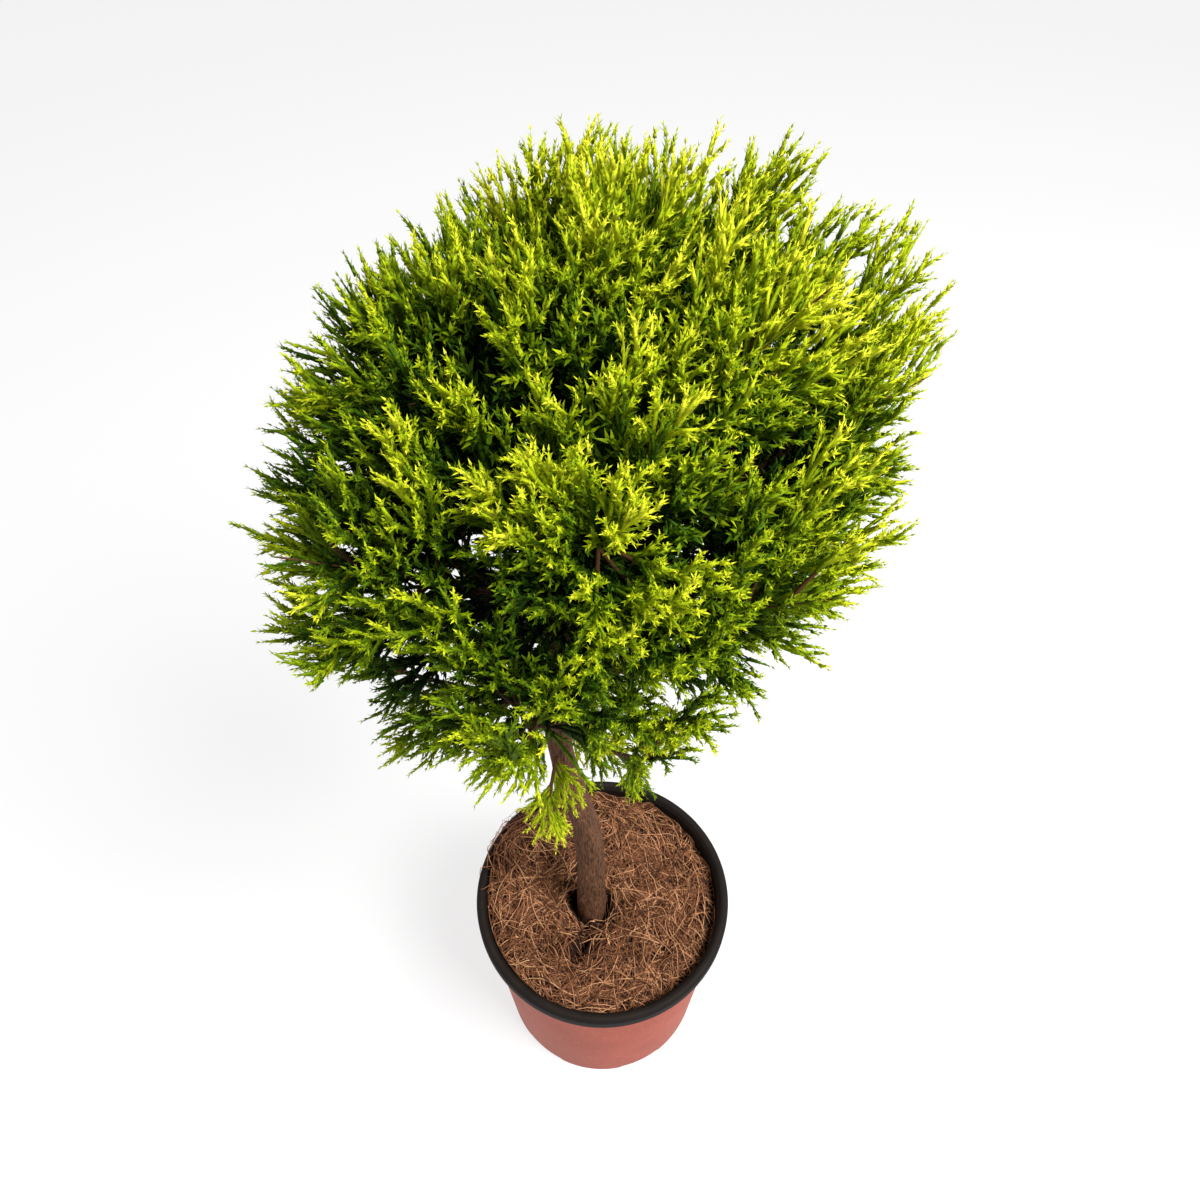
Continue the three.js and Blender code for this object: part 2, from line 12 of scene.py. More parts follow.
import bpy
import numpy as np
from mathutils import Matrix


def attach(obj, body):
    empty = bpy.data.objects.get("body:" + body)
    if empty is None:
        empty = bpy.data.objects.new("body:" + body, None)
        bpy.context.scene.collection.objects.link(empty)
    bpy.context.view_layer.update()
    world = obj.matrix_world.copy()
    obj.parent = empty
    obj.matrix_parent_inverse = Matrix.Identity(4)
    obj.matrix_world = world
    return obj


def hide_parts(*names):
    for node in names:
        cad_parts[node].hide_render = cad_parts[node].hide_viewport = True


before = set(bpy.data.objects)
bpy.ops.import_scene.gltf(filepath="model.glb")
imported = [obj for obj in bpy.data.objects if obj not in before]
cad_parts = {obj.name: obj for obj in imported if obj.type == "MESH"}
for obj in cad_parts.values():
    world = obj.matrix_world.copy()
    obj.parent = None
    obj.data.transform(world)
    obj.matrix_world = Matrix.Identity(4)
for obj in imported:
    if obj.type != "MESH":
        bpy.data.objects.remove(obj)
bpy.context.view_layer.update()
foliage_nodes = sorted(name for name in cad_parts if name.startswith("foliage_"))
bough_nodes = sorted(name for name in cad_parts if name.startswith("bough_"))
print(len(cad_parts), "nodes;", len(foliage_nodes), "masses of foliage on", len(bough_nodes), "boughs")

# %% [markdown]
# ## Meshes from arrays
#
# Every piece is worked out in millimetres as whole numpy arrays, and a helper turns them into a Blender mesh in
# metres. foreach_set copies an array in one go, where a loop in Python over each corner would take minutes.

# %% From arrays to a piece
MM = 0.001
triangles = {}


def add_object(name, data):
    """An object that holds the data, linked to the scene."""
    thing = bpy.data.objects.new(name, data)
    bpy.context.scene.collection.objects.link(thing)
    return thing


def add_piece(name, corners, faces, material, slot, nodes, smooth=True):
    """A mesh object from corners (N, 3) in millimetres and a list of face arrays, each (count, corners a face). It
    stands for the CAD nodes named, which it hides, and takes the material given. The slot is not used."""
    corners = np.asarray(corners, np.float64).reshape(-1, 3) * MM
    faces = [np.asarray(f, np.int32) for f in faces]
    loops = np.concatenate([f.ravel() for f in faces])
    sizes = np.concatenate([np.full(len(f), f.shape[1], np.int32) for f in faces])
    mesh = bpy.data.meshes.new(name)
    mesh.vertices.add(len(corners))
    mesh.vertices.foreach_set("co", corners.astype(np.float32).ravel())
    mesh.loops.add(len(loops))
    mesh.loops.foreach_set("vertex_index", loops)
    mesh.polygons.add(len(sizes))
    mesh.polygons.foreach_set("loop_start", np.cumsum(sizes, dtype=np.int32) - sizes)
    mesh.polygons.foreach_set("use_smooth", np.full(len(sizes), smooth))
    mesh.update(calc_edges=True)
    mesh.validate()
    mesh.materials.append(material)
    piece = add_object(name, mesh)
    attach(piece, "root")
    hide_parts(*nodes)
    triangles[name] = int((sizes - 2).sum())
    print(f"{name}: {triangles[name]} triangles")


# %% Grids that close on themselves
def grid_quads(rows, columns, wrap_rows=False):
    """Quads of a grid whose columns run round: corner (i, j), (i, j+1), (i+1, j+1), (i+1, j). They face out where
    the rows go up and the columns go anticlockwise."""
    i = np.arange(rows if wrap_rows else rows - 1)[:, None]
    j = np.arange(columns)[None, :]
    here, up, after = i * columns, (i + 1) % rows * columns, (j + 1) % columns
    return np.stack([here + j, here + after, up + after, up + j], -1).reshape(-1, 4)


def capped_grid(points):
    """Corners and faces of a grid (rows, columns, 3) whose first and last rows are each closed by a fan of
    triangles to the row's middle."""
    rows, columns, _ = points.shape
    corners = np.concatenate([points.reshape(-1, 3), [points[0].mean(0), points[-1].mean(0)]])
    j = np.arange(columns)
    after, first, top = (j + 1) % columns, rows * columns, (rows - 1) * columns
    low_fan = np.stack([first + 0 * j, after, j], -1)
    high_fan = np.stack([top + j, top + after, first + 1 + 0 * j], -1)
    return corners, [grid_quads(rows, columns), np.concatenate([low_fan, high_fan])]


# %% [markdown]
# ## Chance that repeats
#
# The solids were grown with dice that depend only on two numbers, so the same bough always grows the same way.
# The same formula is written again here. Blended between the corners of a grid, the dice also give smooth noise,
# which makes bark and fibre uneven.

# %% Dice, blends and smooth noise
def roll(a, b):
    """A number from 0 to 1: the fractional part of 43758.5453 times the sine of 127.1 a + 311.7 b + 74.7."""
    value = np.sin(np.asarray(a, float) * 127.1 + np.asarray(b, float) * 311.7 + 74.7) * 43758.5453
    return value - np.floor(value)


def swing(a, b):
    """The dice about their middle, from -0.5 to 0.5."""
    return roll(a, b) - 0.5


def lerp(a, b, share):
    """From a to b by a share: a + (b - a) share."""
    return a + (b - a) * share


def smoothstep(x, low=0.0, high=1.0):
    """0 below low, 1 above high, and 3 s^2 - 2 s^3 between them."""
    s = np.clip((x - low) / (high - low), 0, 1)
    return s * s * (3 - 2 * s)


def noise(u, v, seed, wrap=None):
    """From -1 to 1: the dice of the four whole-numbered corners round (u, v), blended by smoothstep. With wrap,
    the first direction repeats after that many cells."""
    i, j = np.floor(u), np.floor(v)
    a, b = smoothstep(u - i), smoothstep(v - j)
    left, right = (np.mod(i, wrap), np.mod(i + 1, wrap)) if wrap else (i, i + 1)
    low, high = (lerp(roll(left + 17.3 * seed, j + up), roll(right + 17.3 * seed, j + up), a) for up in (0, 1))
    return 2 * lerp(low, high, b) - 1


def circle(count):
    """So many angles, evenly round a circle."""
    return np.linspace(0, 2 * np.pi, count, endpoint=False)


def unit(v):
    """Each vector divided by its length."""
    return v / np.maximum(np.linalg.norm(v, axis=-1, keepdims=True), 1e-9)


def dot(a, b):
    """The dot product of each pair of vectors, with its axis kept."""
    return (a * b).sum(-1, keepdims=True)


# %% [markdown]
# ## Finishes
#
# Grain, dust and scuffs appear on several materials, so each is a node group with named inputs. A group gives out
# only masks; the shader itself stays in the material. All patterns read Object coordinates, so they keep their
# place on the piece.

# %% Shared node groups
def add_node(tree, kind, inputs=None, **settings):
    """A shader node of a kind. Its settings come first, then each input takes a value or a link from a socket."""
    node = tree.nodes.new("ShaderNode" + kind)
    for name, value in settings.items():
        setattr(node, name, value)
    for label, value in (inputs or {}).items():
        if isinstance(value, bpy.types.NodeSocket):
            tree.links.new(value, node.inputs[label])
        else:
            node.inputs[label].default_value = value
    return node


def new_group(name, inputs):
    """A shader node group with named float inputs and one output, Mask: the group, its input and output nodes."""
    group = bpy.data.node_groups.new(name, "ShaderNodeTree")
    for label, value in inputs.items():
        socket = group.interface.new_socket(name=label, in_out="INPUT", socket_type="NodeSocketFloat")
        socket.default_value = value
    group.interface.new_socket(name="Mask", in_out="OUTPUT", socket_type="NodeSocketFloat")
    return group, group.nodes.new("NodeGroupInput").outputs, group.nodes.new("NodeGroupOutput").inputs


def calculate(group, operation, first, second):
    """The result of a Math node on two sockets or numbers."""
    return add_node(group, "Math", {0: first, 1: second}, operation=operation).outputs[0]


def object_noise(group, scale, stretch=(1, 1, 1)):
    """A noise texture on Object coordinates, with each axis stretched."""
    place = add_node(group, "TexCoord").outputs["Object"]
    place = add_node(group, "Mapping", {"Vector": place, "Scale": stretch}).outputs["Vector"]
    return add_node(group, "TexNoise", {"Vector": place, "Scale": scale, "Detail": 3.0}).outputs["Fac"]


def make_grain(name, stretch):
    """Fine unevenness: a noise whose low part is cut off at 'Threshold' and the rest spread by 'Contrast'."""
    group, given, result = new_group(name, {"Scale": 200.0, "Threshold": 0.4, "Contrast": 2.0})
    raised = calculate(group, "SUBTRACT", object_noise(group, given["Scale"], stretch), given["Threshold"])
    spread = add_node(group, "Clamp", {"Value": calculate(group, "MULTIPLY", raised, given["Contrast"])})
    group.links.new(spread.outputs[0], result["Mask"])
    return group


def make_dust():
    """Dust that lies where a surface faces up: the normal's height, times a cloudy noise, times 'Amount'."""
    group, given, result = new_group("dust", {"Amount": 0.5, "Scale": 60.0})
    upward = add_node(group, "SeparateXYZ", {0: add_node(group, "NewGeometry").outputs["Normal"]}).outputs["Z"]
    facing = calculate(group, "MAXIMUM", calculate(group, "ADD", upward, 0.15), 0.0)
    cloudy = calculate(group, "MULTIPLY", facing, object_noise(group, given["Scale"]))
    group.links.new(calculate(group, "MULTIPLY", cloudy, given["Amount"]), result["Mask"])
    return group


even_grain = make_grain("grain", (1, 1, 1))
long_grain = make_grain("grain_along_the_stem", (1, 1, 0.13))
dust = make_dust()
print("groups:", [group.name for group in bpy.data.node_groups])


# %% Materials
def linear(red, green, blue):
    """A screen colour from 0 to 255 as the linear light that the shader wants: ((c + 0.055) / 1.055) ** 2.4."""
    c = np.array([red, green, blue]) / 255
    return (*np.where(c <= 0.04045, c / 12.92, ((c + 0.055) / 1.055) ** 2.4), 1.0)


def new_material(name, colour, roughness, specular):
    """A material with one Principled shader; colour is (red, green, blue) from 0 to 255."""
    material = bpy.data.materials.new(name)
    material.use_nodes = True
    shader = material.node_tree.nodes["Principled BSDF"]
    shader.inputs["Base Color"].default_value = linear(*colour)
    shader.inputs["Roughness"].default_value = roughness
    shader.inputs["Specular IOR Level"].default_value = specular
    return material, material.node_tree, shader


def place_group(tree, group, **values):
    """The mask of a group placed in a material, with the group's inputs set by name."""
    return add_node(tree, "Group", values, node_tree=group).outputs["Mask"]


def mix_colours(tree, mask, under, over):
    """Colour 'under' where the mask is 0 and 'over' where it is 1; each is a socket or a screen colour."""
    under, over = (linear(*colour) if isinstance(colour, tuple) else colour for colour in (under, over))
    return add_node(tree, "Mix", {0: mask, 6: under, 7: over}, data_type="RGBA").outputs[2]


def dress(tree, shader, colour, height, distance):
    """Gives the shader a colour, and raises the surface by up to 'distance' metres where 'height' is white."""
    bump = add_node(tree, "Bump", {"Strength": 1.0, "Distance": distance, "Height": height})
    tree.links.new(bump.outputs["Normal"], shader.inputs["Normal"])
    tree.links.new(colour, shader.inputs["Base Color"])


# %% [markdown]
# ## The pot
#
# Nursery pots are blown from a black sheet with a coloured sheet on its outside. The lip rolls outwards and stays
# black. Both layers are a profile turned round the pot's axis: a grid of turn and distance along the profile. The
# feet are made by lifting the lowest rings in six places, where the drain slots are.

# %% Pot sizes and profiles
POT_HEIGHT, RIM_RADIUS, FOOT_RADIUS, NECK_RADIUS = 176.0, 95.0, 81.0, 89.4
LIP_HEIGHT, SKIN, WALL, FLOOR, GAP = 13.0, 1.0, 1.6, 2.2, 0.3
UNDER_LIP = POT_HEIGHT - LIP_HEIGHT
SLOTS, SLOT_WIDTH, SLOT_HEIGHT, SLOT_DEPTH, FIRST_SLOT = 6, 34.0, 2.6, 14.0, math.radians(53)
TURNS = 240


def wall_radius(z):
    """Outside of the black wall at a height: a straight taper from foot to neck, less the skin and its clearance."""
    return lerp(FOOT_RADIUS, NECK_RADIUS, z / UNDER_LIP) - SKIN - GAP


def rounded(profile, reach):
    """A profile of (radius, height) corners with each corner turned into a short curve: it starts and ends
    'reach' from the corner, or a third of the way to the next, and is a quadratic curve with the corner as its
    middle point."""
    profile = np.array(profile, float)
    soft = [profile[:1]]
    t = np.linspace(0, 1, 5)[:, None]
    for before, corner, after in zip(profile[:-2], profile[1:-1], profile[2:]):
        back, on = before - corner, after - corner
        start = corner + unit(back) * min(reach, np.linalg.norm(back) / 3)
        end = corner + unit(on) * min(reach, np.linalg.norm(on) / 3)
        soft.append((1 - t) ** 2 * start + 2 * t * (1 - t) * corner + t**2 * end)
    return np.concatenate(soft + [profile[-1:]])


def turned(profile):
    """A grid (rows, turns, 3): each (radius, height) of the profile at every angle round the axis."""
    angle = circle(TURNS)
    radius, height = profile[:, 0, None], profile[:, 1, None]
    return np.stack([radius * np.cos(angle), radius * np.sin(angle), height + 0 * angle], -1)


def lift_slots(points):
    """Raises the underside at the drain slots: full height within the slot's width and depth, with soft ends, and
    less up the wall until it is nothing at 9 mm."""
    x, y, z = np.moveaxis(points, -1, 0)
    radius, angle = np.hypot(x, y), np.arctan2(y, x)
    off = np.mod(angle - FIRST_SLOT + np.pi / SLOTS, 2 * np.pi / SLOTS) - np.pi / SLOTS
    across = smoothstep(-np.abs(off) * FOOT_RADIUS, -SLOT_WIDTH / 2 - 1.5, -SLOT_WIDTH / 2 + 1.5)
    deep = smoothstep(radius, FOOT_RADIUS - SLOT_DEPTH - 2, FOOT_RADIUS - SLOT_DEPTH)
    return np.stack([x, y, z + SLOT_HEIGHT * across * deep * np.clip(1 - z / 9, 0, 1)], -1)


# %% Pot materials
black_plastic, tree, shader = new_material("black_plastic", (18, 16, 16), 0.7, 0.15)
scuffs = place_group(tree, even_grain, Scale=900.0, Threshold=0.46, Contrast=3.0)
powder = place_group(tree, dust, Amount=0.14, Scale=70.0)
worn = mix_colours(tree, scuffs, (14, 12, 12), (26, 23, 22))
dress(tree, shader, mix_colours(tree, powder, worn, (92, 72, 58)), scuffs, 0.00005)

terracotta_plastic, tree, shader = new_material("terracotta_plastic", (158, 76, 52), 0.5, 0.2)
clouds = place_group(tree, even_grain, Scale=28.0, Threshold=0.35, Contrast=2.2)
scuffs = place_group(tree, even_grain, Scale=420.0, Threshold=0.55, Contrast=5.0)
cloudy = mix_colours(tree, clouds, (156, 60, 34), (172, 74, 46))
dress(tree, shader, mix_colours(tree, scuffs, cloudy, (186, 94, 64)), scuffs, 0.00004)

# %% Pot body and skin
body_profile = rounded([
    (0, 0), (60, 0), (66.5, 0), (wall_radius(0) - 1.5, 0), (wall_radius(0), 1.5), (wall_radius(4), 4),
    (wall_radius(10), 10), (wall_radius(UNDER_LIP), UNDER_LIP), (RIM_RADIUS - 1.4, UNDER_LIP),
    (RIM_RADIUS, UNDER_LIP + 1.6), (RIM_RADIUS, POT_HEIGHT - 3), (RIM_RADIUS - 1.6, POT_HEIGHT - 0.5),
    (RIM_RADIUS - 3.4, POT_HEIGHT), (RIM_RADIUS - 5.6, POT_HEIGHT - 0.6),
    (wall_radius(POT_HEIGHT - 4) - WALL, POT_HEIGHT - 4), (wall_radius(FLOOR) - WALL, FLOOR), (0, FLOOR),
], 0.9)
body_profile[0, 0] = body_profile[-1, 0] = 0.5
add_piece("pot_body", *capped_grid(lift_slots(turned(body_profile))), black_plastic, "pot_black", ["pot"])

SKIN_FOOT, SKIN_TOP, HALFWAY = 0.6, UNDER_LIP - 0.4, 80
inside = [(wall_radius(z) + GAP, z) for z in (HALFWAY, SKIN_FOOT)]
outside = [(wall_radius(z) + GAP + SKIN, z) for z in (SKIN_FOOT, 4, 10, SKIN_TOP)]
above = [(wall_radius(z) + GAP, z) for z in (SKIN_TOP, HALFWAY)]
skin_profile = rounded(inside + outside + above, 0.4)[:-1]
add_piece("pot_coloured_skin", lift_slots(turned(skin_profile)), [grid_quads(len(skin_profile), TURNS, True)],
          terracotta_plastic, "pot_terracotta", ["pot_skin"])

# %% [markdown]
# ## Potting mix
#
# The mix fills the pot and only shows through the hole in the fibre mat, so the CAD solid stays and gets a dark,
# crumbly material.

# %% Potting mix
damp_mix, tree, shader = new_material("damp_potting_mix", (38, 26, 17), 0.95, 0.2)
crumbs = place_group(tree, even_grain, Scale=520.0, Threshold=0.42, Contrast=4.0)
dress(tree, shader, mix_colours(tree, crumbs, (22, 14, 9), (66, 46, 31)), crumbs, 0.0008)
mix_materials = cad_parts["potting_mix"].data.materials
mix_materials.clear()
mix_materials.append(damp_mix)

# %% [markdown]
# ## Coconut-fibre mat
#
# Growers lay a slit disc of felted coconut fibre on the mix to keep weeds down. A lumpy body, coloured much darker
# than its fibres as painted shade for the gaps between them, carries some thousands of loose fibres. They lie in
# bunches, as they do in the husk: the fibres of a bunch start close together, head much the same way and curl alike.
# Each is a curve that wanders as it goes and lifts off the mat, swept with a three-sided section. Three shades of
# fibre stop the mat from looking painted.

# %% The mat's surface
MIX_TOP, MAT_THICKNESS, MAT_TILT = 156.0, 12.0, 6.5
MAT_FOOT = MIX_TOP + GAP
MAT_EDGE = wall_radius(MAT_FOOT) - WALL - 1.2
TRUNK_FOOT = np.array([-8.5, -7.5, MAT_FOOT])
HOLE_RADIUS, SLIT_WIDTH, SLIT_ANGLE = 13.5, 3.2, math.radians(-104)


def opening(x, y, soft):
    """1 on the mat and 0 in the hole round the trunk and in the slit, with an edge 'soft' wide. The hole's edge
    swells and shrinks in waves. The slit has pulled open near the trunk only, and its sides wander."""
    dx, dy = x - TRUNK_FOOT[0], y - TRUNK_FOOT[1]
    around = np.arctan2(dy, dx)
    edge = HOLE_RADIUS + 2.4 * np.cos(2 * around + 0.5) + 1.3 * np.sin(5 * around)
    hole = smoothstep(np.hypot(dx, dy), edge - soft, edge + soft)
    along = dx * math.cos(SLIT_ANGLE) + dy * math.sin(SLIT_ANGLE)
    across = np.abs(dy * math.cos(SLIT_ANGLE) - dx * math.sin(SLIT_ANGLE) + 1.9 * np.sin(along / 6.0))
    half = SLIT_WIDTH * (0.45 + 0.35 * noise(along / 7, 0 * along, 6))
    is_open = smoothstep(along, 0, 4) * (1 - smoothstep(along, 38, 54))
    return np.minimum(hole, 1 - is_open * (1 - smoothstep(across, half, half + soft)))


def mat_height(x, y):
    """Top of the mat: the solid's two waves, a tilt that rides up on the left, a rounded edge, two sizes of felted
    lumps, and a heap that stands up to the rim on the left."""
    relief = 1.3 * np.sin(x * 0.11 + 1.7) * np.cos(y * 0.13) + 0.9 * np.sin(x * 0.23 - y * 0.19)
    lumps = 3.4 * noise(x / 13, y / 13, 3) + 2.2 * noise(x / 5.2, y / 5.2, 4)
    heap = 9.0 * np.exp(-((x + 70) ** 2 + (y - 38) ** 2) / 27**2)
    fall = 3.4 * smoothstep(np.hypot(x, y), MAT_EDGE - 11, MAT_EDGE + 1) ** 2
    return MAT_FOOT + MAT_THICKNESS + relief + lumps + heap - MAT_TILT * x / MAT_EDGE - fall


ring_share = np.concatenate([np.linspace(0.02, 1, 96), [1.0]])[:, None]
mat_turn = circle(TURNS)[None, :]
mat_x, mat_y = ring_share * MAT_EDGE * np.cos(mat_turn), ring_share * MAT_EDGE * np.sin(mat_turn)
mat_z = MAT_FOOT + (mat_height(mat_x, mat_y) - MAT_FOOT) * (0.04 + 0.96 * opening(mat_x, mat_y, 1.6))
mat_z[-1] = MAT_FOOT
mat_points = np.stack([mat_x, mat_y, mat_z], -1)[::-1]
under = mat_points[0] * (0.5, 0.5, 0) + (0, 0, MAT_FOOT)

# Painted shade: the mat's body is coloured much darker than the fibres, to stand for the shade in the gaps between
# them.
coir_felt_painted_shade, tree, shader = new_material("coir_felt_painted_shade", (52, 29, 17), 0.95, 0.15)
strands = place_group(tree, even_grain, Scale=700.0, Threshold=0.42, Contrast=3.5)
patches = place_group(tree, even_grain, Scale=45.0, Threshold=0.45, Contrast=3.0)
felt_painted_shade = mix_colours(tree, strands, (20, 10, 6), (70, 40, 26))
dress(tree, shader, mix_colours(tree, patches, felt_painted_shade, (30, 16, 10)), strands, 0.0008)
add_piece("coir_mat", *capped_grid(np.concatenate([under[None], mat_points])), coir_felt_painted_shade, "coir", ["coir_disc"])


# %% Fibres and twigs: a thin section along many curves at once
def tubes(paths, radii, sides):
    """Closed tapering tubes along N paths (N, M, 3) with radii (M) or (N, M). Each ring stands square to its path;
    its first spoke is a fixed direction with the part along the path taken out. The last ring is a point."""
    count, rings, _ = paths.shape
    ahead = unit(np.gradient(paths, axis=1))
    steep = np.abs(unit(ahead.mean(1))[:, 2:3]) >= 0.8
    fixed = np.where(steep, (1.0, 0.0, 0.0), (0.0, 0.0, 1.0))[:, None, :]
    spoke = unit(fixed - dot(fixed, ahead) * ahead)
    other = np.cross(ahead, spoke)
    turn = circle(sides)[:, None]
    ring = spoke[:, :, None] * np.cos(turn) + other[:, :, None] * np.sin(turn)
    radii = np.broadcast_to(radii, (count, rings))[..., None, None]
    body = (paths[:, :, None] + ring * radii)[:, :-1].reshape(count, -1, 3)
    corners = np.concatenate([body, paths[:, -1:]], 1)
    each = (rings - 1) * sides + 1
    j = np.arange(sides)
    last = (rings - 2) * sides
    quads = grid_quads(rings - 1, sides)
    tip = np.stack([last + j, last + (j + 1) % sides, np.full(sides, each - 1)], -1)
    foot = np.stack([np.zeros(sides - 2, int), j[2:], j[1:-1]], -1)
    one = np.concatenate([quads[:, [0, 1, 2]], quads[:, [0, 2, 3]], tip, foot])
    return corners.reshape(-1, 3), [(one[None] + (np.arange(count) * each)[:, None, None]).reshape(-1, 3)]


# %% Where the fibres run
FIBRES, FIBRE_POINTS, A_BUNCH = 3700, 8, 8
fibre = np.arange(FIBRES)
bunch = fibre // A_BUNCH
share = np.linspace(0, 1, FIBRE_POINTS)[None, :]
from_middle, start_turn = np.sqrt(roll(bunch, 1.5)) * (MAT_EDGE + 1), 2 * np.pi * roll(bunch, 2.5)
fibre_x = from_middle * np.cos(start_turn) + 11 * swing(fibre, 1.7)
fibre_y = from_middle * np.sin(start_turn) + 11 * swing(fibre, 2.7)
combed = 3.4 * noise(fibre_x / 26, fibre_y / 26, 5)
heading = combed + 1.5 * swing(bunch, 3.5) + 0.8 * swing(fibre, 3.6)
heading = heading + np.pi * (roll(fibre, 3.7) > 0.5)
curl = swing(bunch, 5.5) * 2.6 + swing(fibre, 5.7) * 1.0
wander = swing(fibre, 6.5) * 1.1
turned_by = heading[:, None] + curl[:, None] * share + wander[:, None] * np.sin(2 * np.pi * share)
step = (lerp(16, 62, roll(fibre, 4.5) ** 1.3) / (FIBRE_POINTS - 1))[:, None]
path_x = fibre_x[:, None] + np.cumsum(np.cos(turned_by) * step, 1)
path_y = fibre_y[:, None] + np.cumsum(np.sin(turned_by) * step, 1)

# %% Fibres stay in the pot, but for a few that ride over its rim
room = wall_radius(POT_HEIGHT) - WALL - 1.0
from_heap = np.abs(np.mod(np.arctan2(fibre_y, fibre_x), 2 * np.pi) - math.radians(150))
at_heap = (from_heap < math.radians(24)) & (roll(fibre, 7.7) > 0.45)
over_rim = (roll(fibre, 7.5) > 0.996) | at_heap
furthest = np.where(over_rim, RIM_RADIUS + 3.5 * roll(fibre, 7.9) - 2, room)[:, None]
pull = np.minimum(1, furthest / np.maximum(np.hypot(path_x, path_y), 1))
path_x, path_y = path_x * pull, path_y * pull
lift = lerp(0.2, 6.0, (0.5 * roll(fibre, 8.5) + 0.5 * roll(bunch, 8.7)) ** 2.4)[:, None]
rises = lift * np.sin(np.pi * (share * lerp(0.6, 1.6, roll(fibre, 9.5))[:, None]))
rises = np.maximum(rises, -0.4) + lerp(-0.2, 1.2, roll(fibre, 10.5))[:, None]
on_mat = opening(path_x, path_y, 2.5)
path_z = mat_height(path_x, path_y) * on_mat + (1 - on_mat) * (MAT_FOOT + 2.5) + rises
on_rim = (np.hypot(path_x, path_y) > room - 4) & over_rim[:, None]
path_z = np.where(on_rim, np.maximum(path_z, POT_HEIGHT + 0.6), path_z)
clear = (opening(path_x, path_y, 1.0) > 0.4).all(1) | (roll(fibre, 11.5) > 0.7)
off_trunk = (np.hypot(path_x - TRUNK_FOOT[0], path_y - TRUNK_FOOT[1]) > 12).all(1)
fibres = np.stack([path_x, path_y, path_z], -1)
fibre_radii = lerp(0.22, 0.58, roll(fibre, 12.5) ** 1.4)[:, None] * (1 - 0.5 * share)
print((clear & off_trunk).sum(), "fibres,", over_rim.sum(), "of them may ride over the rim")

# %% Fibres in three shades, and a little moss at the edge of the hole
FIBRE_SHADES = [("dark", (84, 48, 28)), ("mid", (148, 97, 64)), ("light", (218, 162, 116))]
shade_of = np.digitize(0.6 * roll(fibre, 13.5) + 0.4 * roll(bunch, 13.7), [0.38, 0.68])
for shade, (label, colour) in enumerate(FIBRE_SHADES):
    chosen = (shade_of == shade) & clear & off_trunk
    material = new_material(f"coir_fibre_{label}", colour, 0.7, 0.3)[0]
    add_piece(f"coir_fibres_{label}", *tubes(fibres[chosen], fibre_radii[chosen], 3), material, "coir", ["coir_disc"])

MOSS = 260
leaf = np.arange(MOSS)
moss_out, moss_turn = 7.5 * np.sqrt(roll(leaf, 21.5)), 2 * np.pi * roll(leaf, 22.5)
moss_x, moss_y = 15.0 + moss_out * np.cos(moss_turn), 1.0 + 0.8 * moss_out * np.sin(moss_turn)
moss_foot = np.stack([moss_x, moss_y, mat_height(moss_x, moss_y) - 0.8], -1)
moss_way = np.stack([swing(leaf, 23.5), swing(leaf, 24.5), 0.5 + roll(leaf, 25.5)], -1)
moss_paths = moss_foot[:, None] + moss_way[:, None] * np.linspace(0, 2.4, 3)[None, :, None]
add_piece("moss_by_the_stem", *tubes(moss_paths, 0.28, 3), new_material("moss", (62, 78, 22), 0.9, 0.1)[0], "coir",
          ["coir_disc"])

# %% [markdown]
# ## Trunk
#
# The stem is bare to the underside of the head, sways a little to the left and runs on inside the foliage. Cypress
# bark is thin and stringy, so the relief is noise stretched along the stem, with a few small scars where shoots
# were rubbed off. A mesh with real relief keeps its shape in every light.

# %% Trunk line and radius
TRUNK_TOP_Z, COLLAR_Z, FOOT_R, COLLAR_R, TOP_R = 628.0, 400.0, 9.9, 6.9, 2.2
FLARE, FLARE_HEIGHT, LEANS_BACK = 1.6, 9.0, 20.0
SWAY_LEFT, SWAY_BACK, SWAY_FROM, SWAY_MOST = 17.0, 15.0, 0.2, 0.5


def trunk_centre(z):
    """Middle of the trunk: it leans back evenly, sways left by a smoothstep and returns part of the way."""
    share = (z - TRUNK_FOOT[2]) / (TRUNK_TOP_Z - TRUNK_FOOT[2])
    left = SWAY_LEFT * smoothstep(share, SWAY_FROM, SWAY_MOST)
    back = SWAY_BACK * smoothstep(share, SWAY_MOST, 1)
    return np.stack([TRUNK_FOOT[0] - left + back, TRUNK_FOOT[1] + LEANS_BACK * share, z + 0 * share], -1)


def trunk_radius(z):
    """A slow taper to the collar, a quicker one above, and a flare of FLARE exp(-height / FLARE_HEIGHT)."""
    flare = FLARE * np.exp((TRUNK_FOOT[2] - z) / FLARE_HEIGHT)
    below = lerp(FOOT_R, COLLAR_R, (z - TRUNK_FOOT[2]) / (COLLAR_Z - TRUNK_FOOT[2])) + flare
    return np.where(z < COLLAR_Z, below, lerp(COLLAR_R, TOP_R, (z - COLLAR_Z) / (TRUNK_TOP_Z - COLLAR_Z)))


